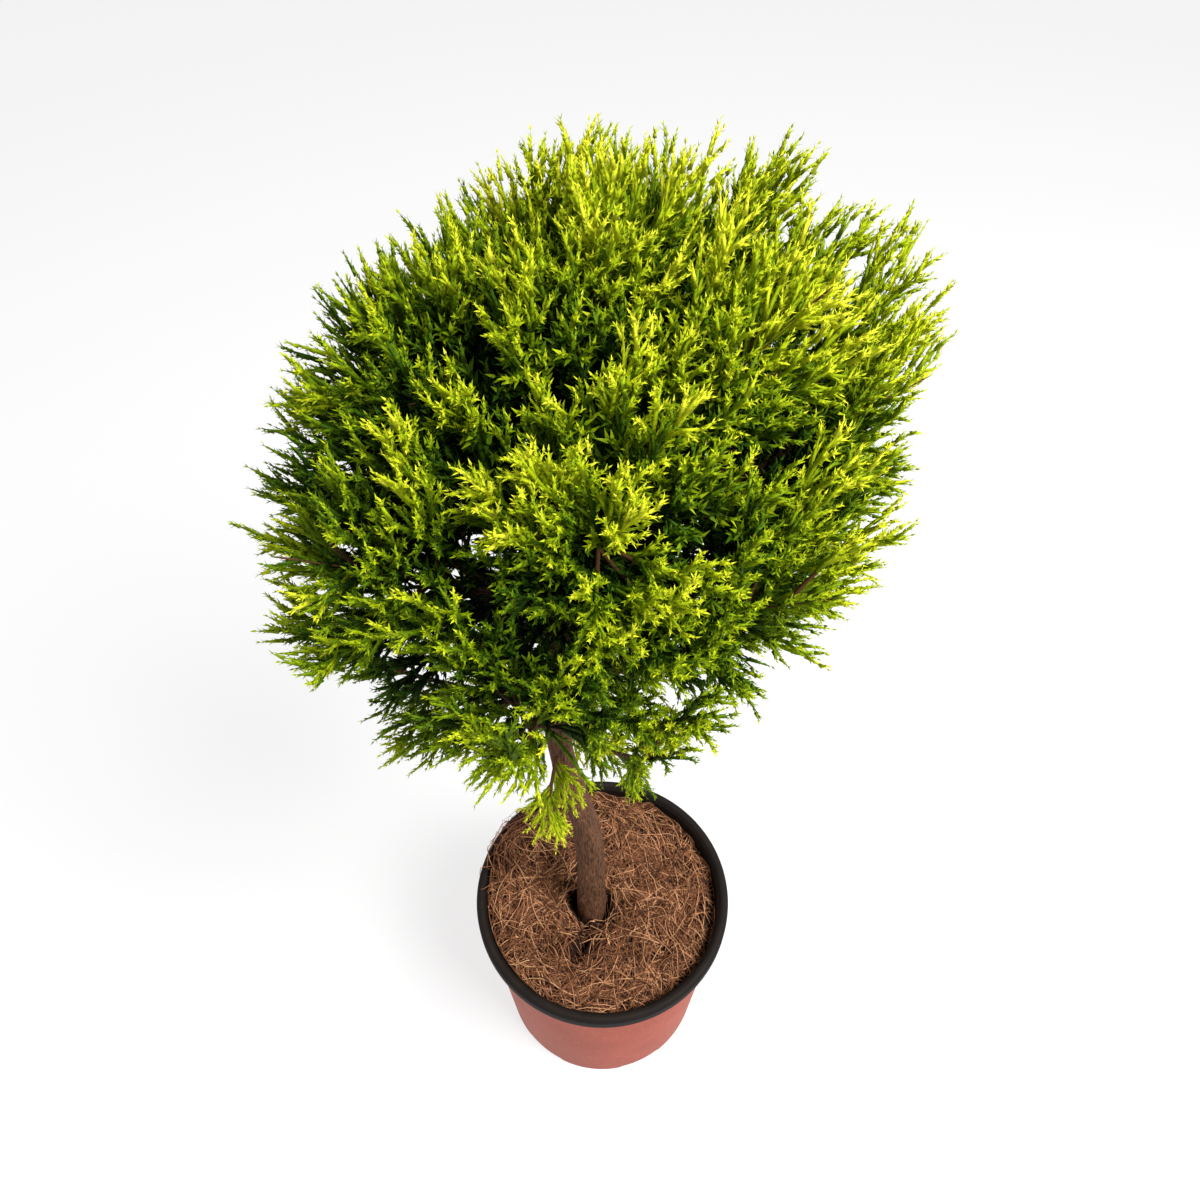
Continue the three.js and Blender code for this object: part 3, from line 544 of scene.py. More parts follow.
# %% Bark relief
BARK_TURNS, BARK_RINGS, SCARS = 112, 440, 12
turn = circle(BARK_TURNS)[None, :]
z = np.linspace(TRUNK_FOOT[2], TRUNK_TOP_Z, BARK_RINGS)[:, None]
round_share, twist = turn / (2 * np.pi), z / 900
strips = 1 - np.abs(noise((round_share + twist) * 11, z / 34, 21, wrap=11)) * 1.7
strings = 1 - np.abs(noise((round_share + twist) * 26, z / 15, 22, wrap=26)) * 1.8
flakes = noise(round_share * 30, z / 4.5, 23, wrap=30)
lumps = noise(round_share * 4, z / 22, 24, wrap=4)
bark = 0.5 * strips + 0.36 * strings + 0.1 * flakes + 0.6 * lumps
scars = np.zeros_like(bark)
for k in range(SCARS):
    scar_z, scar_turn, width = lerp(172, 400, roll(k, 71)), 2 * np.pi * roll(k, 72), lerp(1.7, 3.0, roll(k, 73))
    around = (np.mod(turn - scar_turn + np.pi, 2 * np.pi) - np.pi) * 8.5
    far = (around / width) ** 2 + ((z - scar_z) / (1.2 * width)) ** 2
    scars += lerp(0.7, 1.3, roll(k, 74)) * (np.exp(-far / 2) - 0.9 * np.exp(-far * 2.2))
outline = trunk_radius(z) * (1 + 0.05 * np.sin(3 * turn + 0.04 * z))
bark_radius = outline + (1.25 * bark + scars) * (trunk_radius(z) / 9)
ring = np.stack([np.cos(turn) + 0 * z, np.sin(turn) + 0 * z, 0 * turn * z], -1)

bark_material, tree, shader = new_material("cypress_bark", (97, 63, 42), 0.88, 0.25)
strands = place_group(tree, long_grain, Scale=1100.0, Threshold=0.36, Contrast=2.6)
patches = place_group(tree, even_grain, Scale=130.0, Threshold=0.5, Contrast=3.0)
wood = mix_colours(tree, strands, (62, 37, 22), (124, 84, 57))
dress(tree, shader, mix_colours(tree, patches, wood, (104, 69, 46)), strands, 0.0005)
add_piece("trunk_bark", *capped_grid(trunk_centre(z[:, 0])[:, None] + ring * bark_radius[..., None]), bark_material,
          "bark", ["trunk"])

# %% [markdown]
# ## Limbs
#
# Nineteen limbs leave the trunk between the collar and its top, turned by the golden angle so that none grows
# above another. Each is a quadratic curve from the trunk to the head's edge. The rule and the dice are those of the
# solids, so every limb lies where its solid does. Its first quarter is a bough with bark, and the rest is the stem
# of a mass of foliage. The trunk's top carries one more stem, the leader, and a small sprout grows low in front.

# %% Curves, many at once
def bezier(curves, t):
    """Points of quadratic curves (..., 3, 3) at t: (1-t)^2 foot + 2t(1-t) bend + t^2 tip."""
    t = np.asarray(t)[..., None]
    return (1 - t) ** 2 * curves[..., 0, :] + 2 * t * (1 - t) * curves[..., 1, :] + t**2 * curves[..., 2, :]


def direction_of(curves, t):
    """Unit direction of quadratic curves at t: (1-t)(bend - foot) + t(tip - bend), made one long."""
    t = np.asarray(t)[..., None]
    return unit((1 - t) * (curves[..., 1, :] - curves[..., 0, :]) + t * (curves[..., 2, :] - curves[..., 1, :]))


GOLDEN_ANGLE, GOLDEN_RATIO = math.pi * (3 - math.sqrt(5)), 0.6180339887
UP = np.array([0.0, 0.0, 1.0])
HEAD_CENTRE, HEAD_RADII = np.array([-5.0, 7.0, 597.0]), np.array([121.0, 123.0, 115.0])
DRAWN_OUT, DRAWN_BY = np.array([0.75, 0.55, 0.37]), 0.26
HOLLOWS = [(np.array([0.5, 0.66, 0.56]), 0.17, 0.22), (np.array([1.0, 0.0, 0.0]), 0.1, 0.2)]
LIMBS, BOUGHS, BOUGH_SHARE, BOUGH_FOOT_R, BOUGH_TIP_R = 20, 19, 0.27, 2.7, 1.5


def head_reach(direction):
    """How far the head reaches in a direction, as a share of its radii: 1 + DRAWN_BY times the square of the
    direction's dot product with DRAWN_OUT. A hollow takes off its depth times exp(-(angle / width)^2)."""
    reach = 1 + DRAWN_BY * (direction @ DRAWN_OUT) ** 2
    for towards, depth, width in HOLLOWS:
        angle = np.arccos(np.clip(direction @ unit(towards), -1, 1))
        reach = reach - depth * np.exp(-((angle / width) ** 2))
    return reach


def how_far_out(points):
    """0 at the head's middle and 1 on its outline."""
    offset = (points - HEAD_CENTRE) / HEAD_RADII
    return np.linalg.norm(offset, axis=-1) / head_reach(unit(offset))


def on_sphere(azimuth, height):
    """Unit vectors at an azimuth and a height from -1 to 1: their level part is sqrt(1 - height^2) long."""
    across = np.sqrt(1 - height**2)
    return np.stack([across * np.cos(azimuth), across * np.sin(azimuth), height], -1)


def limb_curves():
    """The curve of every bough's limb: foot on the trunk, bend along its leaving direction, tip on the head."""
    k = np.arange(BOUGHS)
    share = (k + 0.5) / LIMBS
    latitude = lerp(-0.66, 1.0, share)
    azimuth = math.radians(156) + k * GOLDEN_ANGLE + 0.35 * swing(k, 1)
    direction = on_sphere(azimuth, latitude)
    reach = head_reach(direction) * (0.95 + 0.09 * roll(k, 2))
    tip = direction * HEAD_RADII * reach[:, None] + HEAD_CENTRE
    height = lerp(408, 608, share**1.15)
    root = trunk_centre(height)
    level = unit((tip - root) * (1, 1, 0))
    leaving = unit(level + UP * lerp(0.35, 1.5, share)[:, None])
    clear = trunk_radius(height) + GAP + leaving[:, 2] * BOUGH_FOOT_R
    root = root + level * clear[:, None]
    span = np.linalg.norm(tip - root, axis=-1, keepdims=True)
    return np.stack([root, root + leaving * 0.45 * span, tip], 1)


def even_steps(curves, start, end, count):
    """Points (N, count, 3) at even distances along each curve, between two shares of its length, and the lengths.
    The curve is cut into 200 short chords, and a distance is looked up between their ends."""
    fine = bezier(curves[:, None], np.linspace(0, 1, 201)[None, :])
    chords = np.linalg.norm(np.diff(fine, axis=1), axis=-1)
    along = np.concatenate([np.zeros((len(fine), 1)), np.cumsum(chords, 1)], 1)
    start, end = np.broadcast_to(start, len(curves)), np.broadcast_to(end, len(curves))
    share = np.linspace(0, 1, count)
    found = [np.stack([np.interp(lerp(s, e, share) * row[-1], row, line[:, axis]) for axis in range(3)], -1)
             for line, row, s, e in zip(fine, along, start, end)]
    return np.array(found), along[:, -1]


# %% Limbs, leader and sprout
STEM_STEPS = 65
limbs = limb_curves()
bough_lines, limb_length = even_steps(limbs, 0, BOUGH_SHARE, 25)
stem_lines, _ = even_steps(limbs, BOUGH_SHARE + (GAP + 0.3) / limb_length, 1, STEM_STEPS)

SPROUT_WAY, SPROUT_HEIGHT, SPROUT_REACH, SPROUT_DROOP = unit(np.array([-0.2, -0.98, 0.0])), 380.0, 30.0, 30.0
leader_foot = trunk_centre(np.array(TRUNK_TOP_Z)) + UP * (GAP + 0.3)
leader_tip = np.array([6, 20, HEAD_CENTRE[2] + HEAD_RADII[2] * 1.03])
leader = np.stack([leader_foot, leader_foot + UP * 30, leader_tip])
off_middle = trunk_radius(np.array(SPROUT_HEIGHT)) + 2 * GAP
sprout_foot = trunk_centre(np.array(SPROUT_HEIGHT)) + SPROUT_WAY * off_middle
sprout = sprout_foot + np.stack([0 * UP, SPROUT_WAY * 0.6 * SPROUT_REACH + UP * 6,
                                 SPROUT_WAY * SPROUT_REACH - UP * SPROUT_DROOP])
stems = np.concatenate([stem_lines, even_steps(np.stack([leader, sprout]), 0, 1, STEM_STEPS)[0]])
seeds = np.array([*range(BOUGHS), 40, 60])
LEADER, SPROUT = BOUGHS, BOUGHS + 1
print("stems", stems.shape, "limb lengths", limb_length.min().round(), "to", limb_length.max().round())

# %% Bough bark
BOUGH_TURNS = 18
ahead = unit(np.gradient(bough_lines, axis=1))
into_trunk = bough_lines[:, :1] - ahead[:, :1] * 2.4
lines = np.concatenate([into_trunk, bough_lines, stem_lines[:, 2:42:4]], 1)
rings = lines.shape[1]
ahead = unit(np.gradient(lines, axis=1))
spoke = unit(UP - dot(ahead, UP * np.ones_like(ahead)) * ahead)[:, :, None]
other = np.cross(ahead, spoke[:, :, 0])[:, :, None]
turn = circle(BOUGH_TURNS)
row, limb_number = np.arange(rings)[None, :, None], np.arange(BOUGHS)[:, None, None]
foot_thick = [BOUGH_FOOT_R + 1.1, BOUGH_FOOT_R + 0.1, BOUGH_TIP_R, 0.9]
thick = np.interp(np.arange(rings), [0, 2, 25, rings - 1], foot_thick)
round_bough, along_bough = turn * 6 / (2 * np.pi), row / 3.0 + 9.1 * limb_number
ridges = noise(round_bough + 0 * along_bough, along_bough + 0 * turn, 31, wrap=6)
bough_radius = (thick[None, :, None] * (1 + 0.14 * ridges))[..., None]
bough_points = lines[:, :, None] + (spoke * np.cos(turn)[:, None] + other * np.sin(turn)[:, None]) * bough_radius
capped = [capped_grid(points) for points in bough_points]
bough_faces = [np.concatenate([faces[kind] + k * len(corners) for k, (corners, faces) in enumerate(capped)])
               for kind in (0, 1)]
add_piece("bough_bark", np.concatenate([corners for corners, _ in capped]), bough_faces, bark_material, "bark",
          bough_nodes)

# %% [markdown]
# ## Room to grow
#
# A mass of foliage keeps to its own space, and the whole head has an outline: a ball drawn out at the upper right,
# with two hollows, over a cone that widens upwards from the lowest boughs. Young shoots also clothe the lowest
# limbs where those run free under the ball. In front the foliage parts and shows the stem. Solids could be cut with
# these shapes afterwards, but a plant stops growing instead of being sliced, so every twig asks before it grows.

# %% Where foliage may grow
CONE_FOOT, CONE_TOP, CONE_START, CONE_SLOPE, FRONT_STEEPER = 412.0, 530.0, 13.0, 0.8, 1.4
LONG_PLUMES = 0.07
LOW_LIMBS, SLEEVE, SLEEVE_FROM = 6, 21.0, 26.0
PARTING_HALF, PARTING_SLOPE, PARTING_PLACE = 7.0, (0.847, 0.531), 214.0
STRAY, OFF_TRUNK, OVER_POT = 12.0, 9.0, 4.0
stem_axes, low_axes = stems[:, ::16], stems[:LOW_LIMBS, :33:8]
trunk_line = trunk_centre(np.linspace(TRUNK_FOOT[2], TRUNK_TOP_Z, 13))[None]


def distance_to_lines(points, lines):
    """Least distance from each point (P, 3) to each line (L, M, 3), as (P, L): the nearest spot on each stretch
    is foot + share * stretch, with the share held between 0 and 1."""
    least = np.full((len(points), len(lines)), np.inf)
    for i in range(lines.shape[1] - 1):
        foot, along = lines[:, i], lines[:, i + 1] - lines[:, i]
        offset = points[:, None] - foot[None]
        share = np.clip((offset * along).sum(-1) / (along**2).sum(-1), 0, 1)
        least = np.minimum(least, np.linalg.norm(offset - share[..., None] * along, axis=-1))
    return least


def in_head(points, outline):
    """Whether foliage may grow at points: in the cone, inside 'outline' times the ball, which lets the plumes along
    DRAWN_OUT grow a little longer, or close round one of the lowest limbs, and not in the parting. The parting is
    the strip close in front of the trunk and below a plane that slopes down to the front."""
    off = (points - trunk_centre(points[:, 2]))[:, :2]
    off_trunk = np.hypot(off[:, 0], off[:, 1] * np.where(off[:, 1] < 0, FRONT_STEEPER, 1))
    above = points[:, 2] - CONE_FOOT
    in_cone = (above > 0) & (points[:, 2] < CONE_TOP) & (off_trunk < CONE_START + CONE_SLOPE * above)
    towards = np.clip(unit((points - HEAD_CENTRE) / HEAD_RADII) @ DRAWN_OUT, 0, 1)
    inside = in_cone | (how_far_out(points) <= outline * (1 + LONG_PLUMES * towards**8))
    beside = np.flatnonzero(~inside & (points[:, 2] < CONE_TOP) & (off_trunk > SLEEVE_FROM))
    inside[beside] = distance_to_lines(points[beside], low_axes).min(1) < SLEEVE
    below = PARTING_SLOPE[0] * points[:, 1] + PARTING_SLOPE[1] * points[:, 2] < PARTING_PLACE
    return inside & ~(below & (np.abs(off[:, 0]) < PARTING_HALF) & (off[:, 1] < -4))


def has_room(points, owner):
    """Whether points may carry foliage of stem 'owner': in the head, or anywhere for the sprout, clear of pot and
    trunk, and at most STRAY millimetres nearer to another stem than to their own."""
    to_stems = distance_to_lines(points, stem_axes)
    near_own = to_stems[np.arange(len(points)), owner] - to_stems.min(1) <= STRAY
    clear = (points[:, 2] > POT_HEIGHT + OVER_POT) & (distance_to_lines(points, trunk_line)[:, 0] > OFF_TRUNK)
    return (in_head(points, 1.0) | (owner == SPROUT)) & clear & near_own


# %% [markdown]
# ## Branches, shoots, branchlets and tips
#
# Young cypress foliage branches again and again: branches fill the space between the stems, shoots clothe them,
# branchlets stand on the shoots in herringbone ranks, and short tips on the longer branchlets. All leave at a
# slant and swing round to the way the foliage grows: upright on top, outwards at the sides. Each order is one array
# of quadratic curves, grown from the order before it. A shoot that would leave the head is tried shorter, as in the
# solids' rule, and dropped if even two fifths of its length are too much.

# %% The way that foliage turns
HEAD_AXIS, FULL_SPREAD = np.array([-22.0, 8.0]), 85.0
LEVEL_HEIGHT, TURNS_UP_OVER = (550.0, 512.0), (80.0, 62.0)
SIDEWAYS = np.array([0.3, 0.5, 0.81])
TRY_LENGTHS = (1, 0.82, 0.66, 0.5, 0.38)


def growing_way(points):
    """Outwards from the head's axis, and up by (height - level height) / turns up over: shoots stand upright on
    top, level at the level height, and hang a little below it. In front they turn up sooner."""
    out = points[..., :2] - HEAD_AXIS
    far = np.linalg.norm(out, axis=-1, keepdims=True)
    front = smoothstep(-out[..., 1] / far[..., 0], 0.2, 0.9)
    rise = np.clip((points[..., 2] - lerp(*LEVEL_HEIGHT, front)) / lerp(*TURNS_UP_OVER, front), -0.4, 3.0)
    return unit(np.concatenate([out / far * np.minimum(far / FULL_SPREAD, 1), rise[..., None]], -1))


def numbered(per):
    """For 'per' children on each parent: the parent of every child, and the child's number on it, from 0."""
    return np.repeat(np.arange(len(per)), per), np.arange(per.sum()) - np.repeat(np.cumsum(per) - per, per)


def turned_side(ahead, fixed, turn):
    """A direction square to 'ahead': ahead x fixed, turned about ahead by 'turn'."""
    side = unit(np.cross(ahead, fixed))
    return side * np.cos(turn)[:, None] + np.cross(ahead, side) * np.sin(turn)[:, None]


def leaning(ahead, side, slant):
    """The direction that leans 'slant' degrees from ahead to side: ahead cos(slant) + side sin(slant)."""
    slant = np.radians(slant)[:, None]
    return ahead * np.cos(slant) + side * np.sin(slant)


def longest_that_fits(grow, fits, longest):
    """For each curve that grow(length) makes, the first of the lengths to try whose tip fits, or 0."""
    length = np.zeros(len(longest))
    for share in TRY_LENGTHS:
        length = np.where((length == 0) & fits(grow(longest * share)[:, 2]), longest * share, length)
    return length


def stem_at(owner, along):
    """Point and direction on stems at shares of their length, between the two nearest of their even steps."""
    spot = np.clip(along, 0, 0.9999) * (STEM_STEPS - 1)
    low = spot.astype(int)
    here, after = stems[owner, low], stems[owner, low + 1]
    return lerp(here, after, (spot - low)[:, None]), unit(after - here)


# %% Branches
SPOTS, LOWEST_SPOT, SPOT_REACH, INNER_REACH = 372, -0.74, (0.72, 0.99), 0.62
SPREAD, SHORTEST_BRANCH = math.radians(36), 25


def branch_curves():
    """One branch to each spot of an even scatter in the head. Spot k stands at height 1 - (2k+1)/SPOTS and is
    turned by k golden angles. Most spots lie a little inside the outline, and every sixth lies deeper. The stem
    nearest to a spot sends the branch, from far enough back to leave at SPREAD. Low down the scatter thins out,
    which leaves the gaps that show from above."""
    k = np.arange(SPOTS)
    height = 1 - (2 * k + 1) / SPOTS
    way = unit(on_sphere(k * GOLDEN_ANGLE, height) + 0.16 * np.stack([swing(k, 31), swing(k, 32), swing(k, 33)], -1))
    keep = (height > LOWEST_SPOT) & (roll(k, 34) < 1.62 + height)
    way, k = way[keep], k[keep]
    reach = head_reach(way) * np.where(k % 6 == 3, INNER_REACH, lerp(*SPOT_REACH, roll(k, 35)))
    spot = HEAD_CENTRE + way * HEAD_RADII * reach[:, None]
    gaps = np.linalg.norm(spot[:, None, None] - stems[None, :LEADER + 1], axis=-1)
    owner = gaps.min(2).argmin(1)
    mine = gaps[np.arange(len(spot)), owner]
    stem_length = np.linalg.norm(np.diff(stems, axis=1), axis=-1).sum(1)[owner]
    back = mine.min(1) / np.tan(SPREAD) / stem_length
    foot, ahead = stem_at(owner, np.clip(mine.argmin(1) / (STEM_STEPS - 1) - back, 0.01, 0.9))
    span = np.linalg.norm(spot - foot, axis=-1, keepdims=True)
    bend = lerp(foot + ahead * 0.35 * span, spot - growing_way(spot) * 0.45 * span, 0.7)
    keep = span[:, 0] > SHORTEST_BRANCH
    return np.stack([foot, bend, spot], 1)[keep], owner[keep], span[keep, 0]


branches, branch_owner, branch_length = branch_curves()
print(len(branches), "branches,", np.bincount(branch_owner), "on the stems")

# %% Shoots on stems
SHOOTS_A_STEM, SHOOTS_ON_SPROUT, LONGEST_SHOOT, SHORTEST_STEM_SHOOT, SPROUT_SHORTER = 18, 13, 66.0, 16, 0.42


def places_on_stems(owner, j):
    """Shares of the stems' length where shoots j stand: spread by the golden ratio."""
    place = np.mod(0.37 + j * GOLDEN_RATIO + roll(seeds[owner], 9), 1)
    return np.where(owner == SPROUT, 0.04 + 0.9 * place, 0.16 + 0.78 * place)


def shoots_from(owner, j, length):
    """Side shoots j of stems 'owner': they leave at 36 to 48 degrees and swing to the growing way. Those of the
    sprout hang."""
    foot, ahead = stem_at(owner, places_on_stems(owner, j))
    side = turned_side(ahead, SIDEWAYS, j * GOLDEN_ANGLE + 6.28 * roll(seeds[owner], 5))
    leaving = leaning(ahead, side, 36 + 12 * roll(seeds[owner], 20 + j))
    bend = foot + leaving * 0.45 * length[:, None]
    hangs = (owner == SPROUT)[:, None]
    on = np.where(hangs, 0.7 * leaving - 0.4 * UP, 0.6 * leaving + 0.8 * growing_way(bend))
    return np.stack([foot, bend, bend + unit(on) * 0.55 * length[:, None]], 1)


per_stem = np.full(len(stems), SHOOTS_A_STEM)
per_stem[SPROUT] = SHOOTS_ON_SPROUT
owner, number = numbered(per_stem)
by_place, by_chance = 1.05 - 0.45 * places_on_stems(owner, number), 0.86 + 0.2 * roll(seeds[owner], 300 + number)
longest = LONGEST_SHOOT * by_place * by_chance * np.where(owner == SPROUT, SPROUT_SHORTER, 1.0)
shoot_length = longest_that_fits(lambda length: shoots_from(owner, number, length),
                                 lambda tips: has_room(tips, owner), longest)
keep = shoot_length > SHORTEST_STEM_SHOOT
owner, number, shoot_length = owner[keep], number[keep], shoot_length[keep]
stem_shoots = shoots_from(owner, number, shoot_length)
print(len(stem_shoots), "shoots on stems,", shoot_length.sum().round() / 1000, "m in all")


# %% Shoots on branches, boughs and trunk
SHORTEST_SHOOT, SHOOT_STEP, SHOOTS_A_BOUGH, TRUNK_SHOOTS, TRUNK_SHOOTS_FROM = 11, 11.0, 11, 185, (424.0, 624.0)


def shoots_at(foot, ahead, turn, slant, length):
    """Shoots that leave 'ahead' at a slant in degrees, turned about it by 'turn', and swing to the growing way."""
    leaving = leaning(ahead, turned_side(ahead, SIDEWAYS, turn), slant)
    bend = foot + leaving * 0.34 * length[:, None]
    on = unit(0.4 * leaving + 1.1 * growing_way(bend) + 0.1 * UP)
    return np.stack([foot, bend, bend + on * 0.66 * length[:, None]], 1)


def fitted_shoots(foot, ahead, turn, slant, longest, outline):
    """Shoots at the longest length that stays inside the outline, their lengths, and which found one."""
    length = longest_that_fits(lambda length: shoots_at(foot, ahead, turn, slant, length),
                               lambda tips: in_head(tips, outline), longest)
    keep = length > SHORTEST_SHOOT
    return shoots_at(foot[keep], ahead[keep], turn[keep], slant[keep], length[keep]), length[keep], keep


per_branch = np.maximum(3, np.round(branch_length / SHOOT_STEP)).astype(int)
branch, k = numbered(per_branch)
t = 0.12 + 0.87 * (k + 0.6) / per_branch[branch]
branch_shoots, branch_shoot_length, keep = fitted_shoots(
    bezier(branches[branch], t), direction_of(branches[branch], t), k * GOLDEN_ANGLE + 6.28 * roll(branch, 5.5),
    lerp(40, 22, t) + 10 * swing(branch, 20.5 + k), lerp(62, 36, t) * lerp(0.75, 1.2, roll(branch, 40.5 + k)),
    lerp(0.85, 1.06, roll(branch, 36.5)))
branch = branch[keep]

on_bough, j = numbered(np.full(BOUGHS, SHOOTS_A_BOUGH))
spot = (4 + 20 * (j + roll(on_bough, 45 + j)) / SHOOTS_A_BOUGH).astype(int)
bough_shoots, bough_shoot_length, keep = fitted_shoots(
    bough_lines[on_bough, spot], unit(np.gradient(bough_lines, axis=1))[on_bough, spot],
    j * GOLDEN_ANGLE + 6.28 * roll(on_bough, 7.5), 48 + 20 * swing(on_bough, 50 + j),
    48 * lerp(0.7, 1.2, roll(on_bough, 60 + j)), 0.98)
on_bough = on_bough[keep]

j = np.arange(TRUNK_SHOOTS)
trunk_z = lerp(*TRUNK_SHOOTS_FROM, (j + 0.5) / TRUNK_SHOOTS)
round_way = on_sphere(j * GOLDEN_ANGLE, 0.0 * j)
trunk_shoots, trunk_shoot_length, _ = fitted_shoots(
    trunk_centre(trunk_z) + round_way * (trunk_radius(trunk_z) - 0.5)[:, None], unit(round_way + 0.45 * UP), 0.0 * j,
    0.0 * j, 74 * lerp(0.6, 1.15, roll(j, 47)), 0.94)
print(len(branch_shoots), "shoots on branches,", len(bough_shoots), "on boughs,", len(trunk_shoots), "on the trunk")


# %% Every axis that carries branchlets
def outer_half(curves):
    """The second half of quadratic curves, by cutting them at their middle."""
    middle, late = bezier(curves, 0.5), lerp(curves[:, 1], curves[:, 2], 0.5)
    return np.stack([middle, late, curves[:, 2]], 1)


stem_foot, stem_middle, stem_tip = stems[:, 26], stems[:, 45], stems[:, 64]
stem_ends = np.stack([stem_foot, 2 * stem_middle - 0.5 * (stem_foot + stem_tip), stem_tip], 1)
leading = np.concatenate([stem_ends, outer_half(branches)])
leading_length = np.linalg.norm(leading[:, 2] - leading[:, 0], axis=-1)
axis_curves = np.concatenate([stem_shoots, branch_shoots, bough_shoots, trunk_shoots, leading])
axis_length = np.concatenate([shoot_length, branch_shoot_length, bough_shoot_length, trunk_shoot_length,
                              leading_length])
of_sprout = np.concatenate([owner, branch_owner[branch], on_bough, np.full(len(trunk_shoots), LEADER),
                            np.arange(len(stems)), branch_owner]) == SPROUT
plume = np.concatenate([1000.0 + np.arange(len(stem_shoots)), branch, 2000.0 + np.arange(len(bough_shoots)),
                        3000.0 + np.arange(len(trunk_shoots)), 4000.0 + np.arange(len(stems)),
                        np.arange(len(branches))])
axis_middle = bezier(axis_curves, 0.5)
axis_unit = unit((axis_middle - HEAD_CENTRE) / HEAD_RADII)
facing = unit(axis_unit + 0.35 * UP)
print(len(axis_curves), "axes that carry branchlets,", axis_length.sum().round() / 1000, "m in all")


# %% Branchlets and tips
BRANCHLET_STEP, LONGEST_BRANCHLET, TIP_STEP, SHORTEST_WITH_TIPS, TIPS_FROM = 7.4, 22, 8.5, 11, 0.7


def side_growth(parents, per, spread, length_rule, slants, faces_out, pull, outline, sprouting, seed):
    """Twigs along parent curves, 'per' on each. They stand left and right by turns, in a plane that faces out of
    the head, and 'spread' turns some of them out of that plane. Each leaves at a slant and bends towards its
    parent's way and, by 'pull', to the growing way. Gives the curves whose tips stay in the outline or belong to
    the sprout, with their parent, their place on it and their length."""
    parent, k = numbered(per)
    t = 0.07 + 0.9 * (k + 0.5 + 0.5 * swing(parent, seed)) / per[parent]
    foot, ahead = bezier(parents[parent], t), direction_of(parents[parent], t)
    ranks = np.array([0.0, 0.95, -0.8, 0.3, -1.3])[(k // 2) % 5]
    turn = np.pi * (k % 2) + spread * ranks + 0.5 * swing(parent + 0.37 * k, seed + 1)
    slant = lerp(*slants, t) + 8 * swing(parent + 0.71 * k, seed + 2)
    leaving = leaning(ahead, turned_side(ahead, faces_out[parent], turn), slant)
    length = length_rule(parent, k, t)
    bend = foot + leaving * 0.5 * length[:, None]
    tip = bend + unit(leaving + 0.5 * ahead + 0.35 * pull * growing_way(foot)) * 0.5 * length[:, None]
    fits = in_head(tip, outline) | sprouting[parent]
    return np.stack([foot, bend, tip], 1)[fits], parent[fits], t[fits], length[fits]


def branchlet_rule(parent, k, t):
    """Longest a little way up a shoot and short at its tip, longer on long shoots, uneven by the dice."""
    size = LONGEST_BRANCHLET * lerp(0.62, 1.12, np.clip(axis_length[parent] / 65, 0, 1))
    uneven = lerp(0.68, 1.2, roll(parent + 0.13 * k, 51))
    return size * (1 - 0.58 * t) ** 0.8 * uneven * smoothstep(t, -0.3, 0.15)


def tip_rule(parent, k, t):
    """A share of the branchlet that carries it, less towards the branchlet's own tip."""
    return branchlet_length[parent] * 0.48 * (1 - 0.4 * t) * lerp(0.75, 1.15, roll(parent + 0.29 * k, 52))


per_axis = np.maximum(4, np.round(axis_length / BRANCHLET_STEP)).astype(int)
branchlets, parent, branchlet_t, branchlet_length = side_growth(
    axis_curves, per_axis, 0.9, branchlet_rule, (33, 20), facing, 1.0, 1.07, of_sprout, 60)
outness = how_far_out(bezier(branchlets, 0.5))
carries = (branchlet_length > SHORTEST_WITH_TIPS) & (outness > TIPS_FROM)
per_branchlet = np.where(carries, np.round(branchlet_length / TIP_STEP), 0).astype(int)
tips, tip_parent, _, tip_length = side_growth(
    branchlets, per_branchlet, 0.7, tip_rule, (33, 24), facing[parent], 0.6, 1.08, of_sprout[parent], 80)
print(len(branchlets), "branchlets,", branchlet_length.sum().round() / 1000, "m in all")
print(len(tips), "tips,", tip_length.sum().round() / 1000, "m in all")

# %% [markdown]
# ## Colour by spray
#
# New growth on this cypress is golden and last year's is green. Over these real colours lies painted light and shade:
# sprays deep inside the head, low in front and on the upper sides are darker, and those to the top, back and right
# are lighter. Colour therefore goes by place: how far out a spray sits, how high, how far along its shoot, and a
# throw of the dice that the sprays of one plume share. The result picks one of a row of plain colours. Plain colours,
# with no picture, look the same wherever the model goes.

# %% The row of colours
# The darkest colours of the row are mostly painted shade, for sprays inside the head and low in front.
TINTS = [
    ("shade", (16, 32, 2)), ("deep", (32, 58, 3)), ("green", (54, 84, 4)), ("leaf", (84, 112, 4)),
    ("fresh", (116, 140, 6)), ("lime", (150, 168, 10)), ("gold", (182, 194, 24)), ("tip", (212, 216, 48)),
]
HALF_LIT, LIGHT_SPAN, SPROUT_LIGHT, TUFT_WIDTH = 424, 62, 0.36, 18
YOUNG_TUFTS = np.array([[-1.0, -98.0, 655.0], [-42.0, -92.0, 657.0]])
needle_materials = [new_material(f"foliage_{label}", colour, 0.7, 0.12)[0] for label, colour in TINTS]


def slot_of(tint):
    """The slot that a colour of the row goes by."""
    return "foliage_gold" if tint > 3 else "foliage_green"


def in_light(points):
    """From -0.7 in the shade to 1 in the light: painted light and shade, lighter towards the top and back of the head
    and darker low in front, together with the real gold of the growth that had the most sun: (0.64 y + 0.77 z -
    HALF_LIT) / LIGHT_SPAN."""
    return np.clip((0.64 * points[..., 1] + 0.77 * points[..., 2] - HALF_LIT) / LIGHT_SPAN, -0.7, 1)


def tint_numbers(points, spray_light, along):
    """Which colour of the row: the spray's own light, more towards the outline and towards the spray's tip. Darker
    inside the head is partly painted shade and partly the greener old growth there.
    """
    out = smoothstep(how_far_out(points), 0.62, 1.0)
    value = spray_light + 0.22 * out + 0.34 * along * (0.84 + 0.16 * in_light(points))
    return np.clip(np.floor(value * len(TINTS)), 0, len(TINTS) - 1).astype(int)
